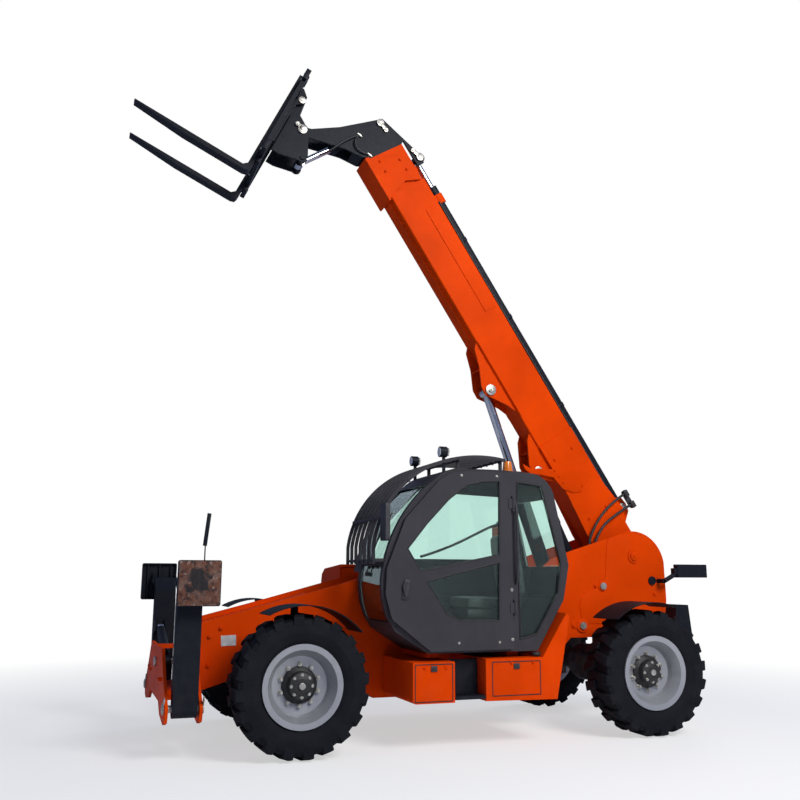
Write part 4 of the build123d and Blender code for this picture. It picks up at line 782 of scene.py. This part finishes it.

# Carriage and forks: hooks, locking pins and lift eyes
bm = bmesh.new()
for y in (0.355, -0.355):
    block(bm, (0.060, 0.125, 0.075), forkPoint(0.222, 0.385, y), forkTurn, 0.006)
    block(bm, (0.055, 0.100, 0.060), forkPoint(0.222, -0.700, y), forkTurn, 0.006)
    bar(bm, forkPoint(0.222, 0.40, y), forkPoint(0.222, 0.47, y), 0.013, 16, None, 0.002)
    bar(bm, forkPoint(0.206, 0.462, y), forkPoint(0.262, 0.462, y), 0.009, 12)
for y in (0.62, -0.62):
    block(bm, (0.050, 0.020, 0.120), forkPoint(0.222, 0.300, y * 0.985), forkTurn, 0.004)
    block(bm, (0.050, 0.020, 0.120), forkPoint(0.222, -0.620, y * 0.985), forkTurn, 0.004)
settle("forkHooks", bm, blackPaint, "carriage")
bm = bmesh.new()
for side in (1, -1):
    ringPin(bm, forkPoint(0, 0, side * 0.158), side, 0.052, False)
    ringPin(bm, forkPoint(0.150, 0.268, side * 0.200), side, 0.040, False)
    for v in (0.30, -0.62):
        for y in (0.15, 0.32, 0.48):
            bolt(bm, forkPoint(0.243, v, side * y), forkTurn @ Vector((1, 0, 0)), 0.020)
settle("carriageBolts", bm, boltZinc, "carriage")

# Frame: bolts, pivot plates, lamp flanges, seams and latches on the boxes, tread on the deck
bm = bmesh.new()
for side in (1, -1):
    for x, z in ((-2.55, 1.30), (-2.45, 1.12), (-2.35, 1.00), (-1.30, 0.80), (2.18, 0.95), (2.18, 0.70), (2.08, 1.02)):
        bolt(bm, (x, side * 0.380, z), (0, side, 0), 0.030)
for x in (-0.62, -0.40, 0.24, 0.44):
    bolt(bm, (x, 1.195, 0.72 if x < 0 else 0.70), (0, 1, 0), 0.020)
for y in (-0.42, -0.14, 0.14, 0.42):
    for z in (0.90, 1.12):
        bolt(bm, (-2.868 + (z - 0.9) * 0.1, y, z), (-1, 0, 0.1), 0.036)
for x in (2.302, 2.598):
    way = -1 if x < 2.4 else 1
    for y in (0.62, 0.45, -0.45, -0.62):
        bolt(bm, (x, y, 0.56 + 0.1 * abs(y)), (way, 0, 0), 0.026)
settle("frameBolts", bm, orangePaint, "chassis")
pivotPlate = [
    (-2.009, 1.888), (-1.989, 1.865), (-1.968, 1.781), (-1.943, 1.485), (-1.897, 1.397),
    (-1.652, 1.281), (-1.616, 1.200), (-1.640, 1.000), (-2.640, 1.000), (-2.682, 1.240),
    (-2.674, 1.620), (-2.620, 1.760), (-2.480, 1.905), (-2.330, 1.938), (-2.180, 1.930),
]
bm = bmesh.new()
for side in (1, -1):
    plate(bm, [Vector((x, side * 0.380, z)) for x, z in pivotPlate], side * 0.007)
    bar(bm, (-2.336, side * 0.386, 1.05), (-2.336, side * 0.392, 1.05), 0.020, 20)
settle("pivotPlates", bm, orangePaint, "chassis")
bm = bmesh.new()
for side in (1, -1):
    bar(bm, (-2.519, side * 0.386, 1.441), (-2.519, side * 0.404, 1.441), 0.046, 30, None, 0.003)
    for angle in (0.6, 2.7, 4.8):
        spot = Vector((-2.519 + 0.034 * math.cos(angle), side * 0.403, 1.441 + 0.034 * math.sin(angle)))
        bar(bm, spot, spot + Vector((0, side * 0.006, 0)), 0.007, 6)
settle("lampFlanges", bm, blackPaint, "chassis")
bm = bmesh.new()
block(bm, (0.135, 0.003, 0.092), (2.010, 0.3815, 0.909), Matrix.Rotation(0.04, 4, "Y"), 0.001, 1)
for dx in (-0.058, 0.058):
    bar(bm, (2.010 + dx, 0.382, 0.909 - dx * 0.04), (2.010 + dx, 0.386, 0.909 - dx * 0.04), 0.005, 10)
settle("blankPlate", bm, plasticFinish("plateSilver", (0.46, 0.46, 0.47), 0.4, 200), "chassis")
bm = bmesh.new()
for y in (0.93, -0.93):
    for x, way in ((2.300, -1), (2.600, 1)):
        spot = Vector((x, y, 0.42))
        bar(bm, spot, spot + Vector((way * 0.016, 0, 0)), 0.046, 28, None, 0.003)
        block(bm, (0.010, 0.11, 0.036), spot + Vector((way * 0.007, 0.05, 0.05)), Matrix.Rotation(0.8, 4, "X"), 0.002)
bar(bm, (2.600, 0.06, 0.72), (2.622, 0.06, 0.72), 0.040, 24, None, 0.003)
bar(bm, (2.278, -0.06, 0.72), (2.300, -0.06, 0.72), 0.040, 24, None, 0.003)
settle("beamPinCaps", bm, boltZinc, "chassis")

bm = bmesh.new()
for x, z, wide, tall in ((0.352, 0.572, 0.35, 0.31), (-0.450, 0.585, 0.48, 0.29)):
    block(bm, (wide, 0.005, 0.008), (x, 1.1955, z + tall / 2))
    block(bm, (wide, 0.005, 0.008), (x, 1.1955, z - tall / 2))
    block(bm, (0.008, 0.005, tall), (x - wide / 2, 1.1955, z))
    block(bm, (0.008, 0.005, tall), (x + wide / 2, 1.1955, z))
settle("boxSeams", bm, sealRubber, "chassis")
bm = bmesh.new()
for x in (0.352, -0.450):
    block(bm, (0.060, 0.012, 0.050), (x, 1.199, 0.690), None, 0.005)
    bar(bm, (x, 1.200, 0.690), (x, 1.210, 0.690), 0.012, 16)
bar(bm, (-0.70, 1.10, 0.77), (-0.70, 1.10, 0.80), 0.045, 28, None, 0.004)
settle("boxLatches", bm, trimPlastic, "chassis")

bm = bmesh.new()
for row in range(4):
    for column in range(11):
        turn = Matrix.Rotation(math.radians(45 if (row + column) % 2 else -45), 4, "Z")
        block(bm, (0.026, 0.006, 0.004), (-0.112 + column * 0.0235, 1.035 + row * 0.036, 0.4515), turn)
settle("stepTread", bm, blackPaint, "chassis")
bm = bmesh.new()
deckTurn = Matrix.Rotation(math.radians(14.2), 4, "Y")
for row in range(12):
    for column in range(13):
        turn = Matrix.Rotation(math.radians(45 if (row + column) % 2 else -45), 4, "Z")
        x = 1.70 + row * 0.045
        z = 1.188 - (x - 1.624) * 0.2531 + 0.001
        block(bm, (0.032, 0.008, 0.005), (x, -0.30 + column * 0.05, z), deckTurn @ turn)
settle("deckTread", bm, orangePaint, "chassis")

# Engine side: louvres, latches and a grille in the hood and the bay
bm = bmesh.new()
for panel in (-0.72, -0.12, 0.48):
    for row in range(9):
        block(bm, (0.44, 0.022, 0.016), (panel, -1.184, 0.72 + row * 0.045),
              Matrix.Rotation(math.radians(28), 4, "X"), 0.003)
settle("bayLouvres", bm, trimPlastic, "chassis")
bm = bmesh.new()
for x in (-0.85, 0.62):
    block(bm, (0.050, 0.016, 0.075), (x, -1.186, 1.262), None, 0.005)
    block(bm, (0.024, 0.020, 0.060), (x, -1.192, 1.275), None, 0.004)
settle("hoodLatches", bm, trimPlastic, "hood")
bm = bmesh.new()
for row in range(7):
    block(bm, (0.70, 0.020, 0.010), (-0.10, -0.60 - row * 0.045, 1.600 - (0.20 + row * 0.045) * 0.0625 + 0.002),
          Matrix.Rotation(math.radians(-20), 4, "X"), 0.003)
settle("hoodGrille", bm, trimPlastic, "hood")
bm = bmesh.new()
bar(bm, (-1.135, -0.56, 2.02), (-1.175, -0.56, 2.075), 0.034, 28, 0.036)
bar(bm, (-1.135, -0.56, 1.50), (-1.135, -0.56, 1.53), 0.054, 28, None, 0.004)
bar(bm, (-1.135, -0.56, 1.25), (-1.135, -0.56, 1.28), 0.054, 28, None, 0.004)
settle("exhaustTip", bm, boltZinc, "chassis")

# Stabiliser feet: a rust-worn sole plate over each pad, with ribs behind it
for hand, side, x in (("Left", 1, 2.44), ("Right", -1, 2.46)):
    low = hand.lower()
    bm = bmesh.new()
    block(bm, (0.338, 0.006, 0.358), (x - side * 0.050, side * 1.1515, 1.42), None, 0.002)
    settle(f"sole{hand}", bm, wornSole, f"{low}_foot")
    bm = bmesh.new()
    for dx in (-0.115, 0.0, 0.115):
        block(bm, (0.012, 0.030, 0.330), (x - side * 0.050 + dx, side * 1.122, 1.42), None, 0.003)
    if side > 0:
        block(bm, (0.010, 0.010, 0.16), (2.355, 1.120, 1.660), None, 0.002)
        block(bm, (0.034, 0.008, 0.270), (2.345, 1.120, 1.855), Matrix.Rotation(-0.10, 4, "Y"), 0.003)
    settle(f"footRibs{hand}", bm, blackPaint, f"{low}_foot")
    bm = bmesh.new()
    for dx in (-0.101, 0.101):
        block(bm, (0.006, 0.110, 0.70), (x + dx, side * 0.93, 0.90), None, 0.002)
        bar(bm, (x + dx, side * 1.03, 1.42), (x + dx * 1.06, side * 1.03, 1.42), 0.034, 24)
    settle(f"legPlates{hand}", bm, blackPaint, f"{low}_leg")
print("chassis done")

# Pale floor fading to the white backdrop, with the object's shadow kept on it
stage = {"floor": 60.0, "key": 520.0, "fill": 20.0, "rim": 120.0, "world": 0.30}
floorFinish = Finish("paleFloor", (0.86, 0.86, 0.87), 0.9)
x = floorFinish.along(0)
y = floorFinish.along(1)
reach = ((x * x + y * y).root() - 4.2) / 5.0
glow = floorFinish.node("ShaderNodeEmission", None, {"Color": (1, 1, 1, 1), "Strength": 1.0})
rays = floorFinish.node("ShaderNodeLightPath")
through = floorFinish.node("ShaderNodeLightPath", output="Is Transmission Ray")
factor = (reach.limit() * 0.45 + 0.55) * (rays + through).limit()
blendNode = floorFinish.tree.nodes.new("ShaderNodeMixShader")
floorFinish.tree.links.new(factor.socket, blendNode.inputs[0])
floorFinish.tree.links.new(floorFinish.shader.outputs[0], blendNode.inputs[1])
floorFinish.tree.links.new(glow.socket, blendNode.inputs[2])
floorFinish.tree.links.new(blendNode.outputs[0], floorFinish.tree.nodes["Material Output"].inputs[0])
bm = bmesh.new()
bmesh.ops.create_grid(bm, x_segments=1, y_segments=1, size=stage["floor"], matrix=Matrix.Translation((0, 0, -0.001)))
floorMesh = bpy.data.meshes.new("floor")
bm.to_mesh(floorMesh)
bm.free()
floorMesh.materials.append(floorFinish.material)
floorObject = bpy.data.objects.new("floor", floorMesh)
scene.collection.objects.link(floorObject)

world = bpy.data.worlds.new("studio")
scene.world = world
world.use_nodes = True
worldTree = world.node_tree
background = worldTree.nodes["Background"]
background.inputs["Color"].default_value = (0.50, 0.62, 1.0, 1)
background.inputs["Strength"].default_value = stage["world"]
whiteSky = worldTree.nodes.new("ShaderNodeBackground")
whiteSky.inputs["Color"].default_value = (1, 1, 1, 1)
path = worldTree.nodes.new("ShaderNodeLightPath")
direct = Wire(worldTree, path.outputs["Is Camera Ray"])
skyFactor = (direct + Wire(worldTree, path.outputs["Is Transmission Ray"])).limit()
skyMix = worldTree.nodes.new("ShaderNodeMixShader")
worldTree.links.new(skyFactor.socket, skyMix.inputs[0])
worldTree.links.new(background.outputs[0], skyMix.inputs[1])
worldTree.links.new(whiteSky.outputs[0], skyMix.inputs[2])
worldTree.links.new(skyMix.outputs[0], worldTree.nodes["World Output"].inputs[0])


def lamp(name, place, aimAt, size, energy, colour):
    light = bpy.data.lights.new(name, "AREA")
    light.shape = "DISK"
    light.size = size
    light.energy = energy
    light.color = colour
    holder = bpy.data.objects.new(name, light)
    scene.collection.objects.link(holder)
    run = Vector(aimAt) - Vector(place)
    holder.matrix_world = Matrix.Translation(place) @ run.to_track_quat("-Z", "Y").to_matrix().to_4x4()


lamp("keyLight", (-2.5, 9.5, 8.5), (0, 0, 2.2), 5.0, stage["key"] * 2.2, (1.0, 0.985, 0.96))
lamp("fillLight", (9.0, 4.0, 5.0), (0, 0, 2.0), 5.0, stage["fill"] * 1.6, (0.93, 0.96, 1.0))
lamp("rimLight", (-8.0, -6.0, 8.0), (0, 0, 2.5), 5.0, stage["rim"] * 2.0, (0.95, 0.97, 1.0))
scene.view_settings.view_transform = "Standard"
print("stage done")
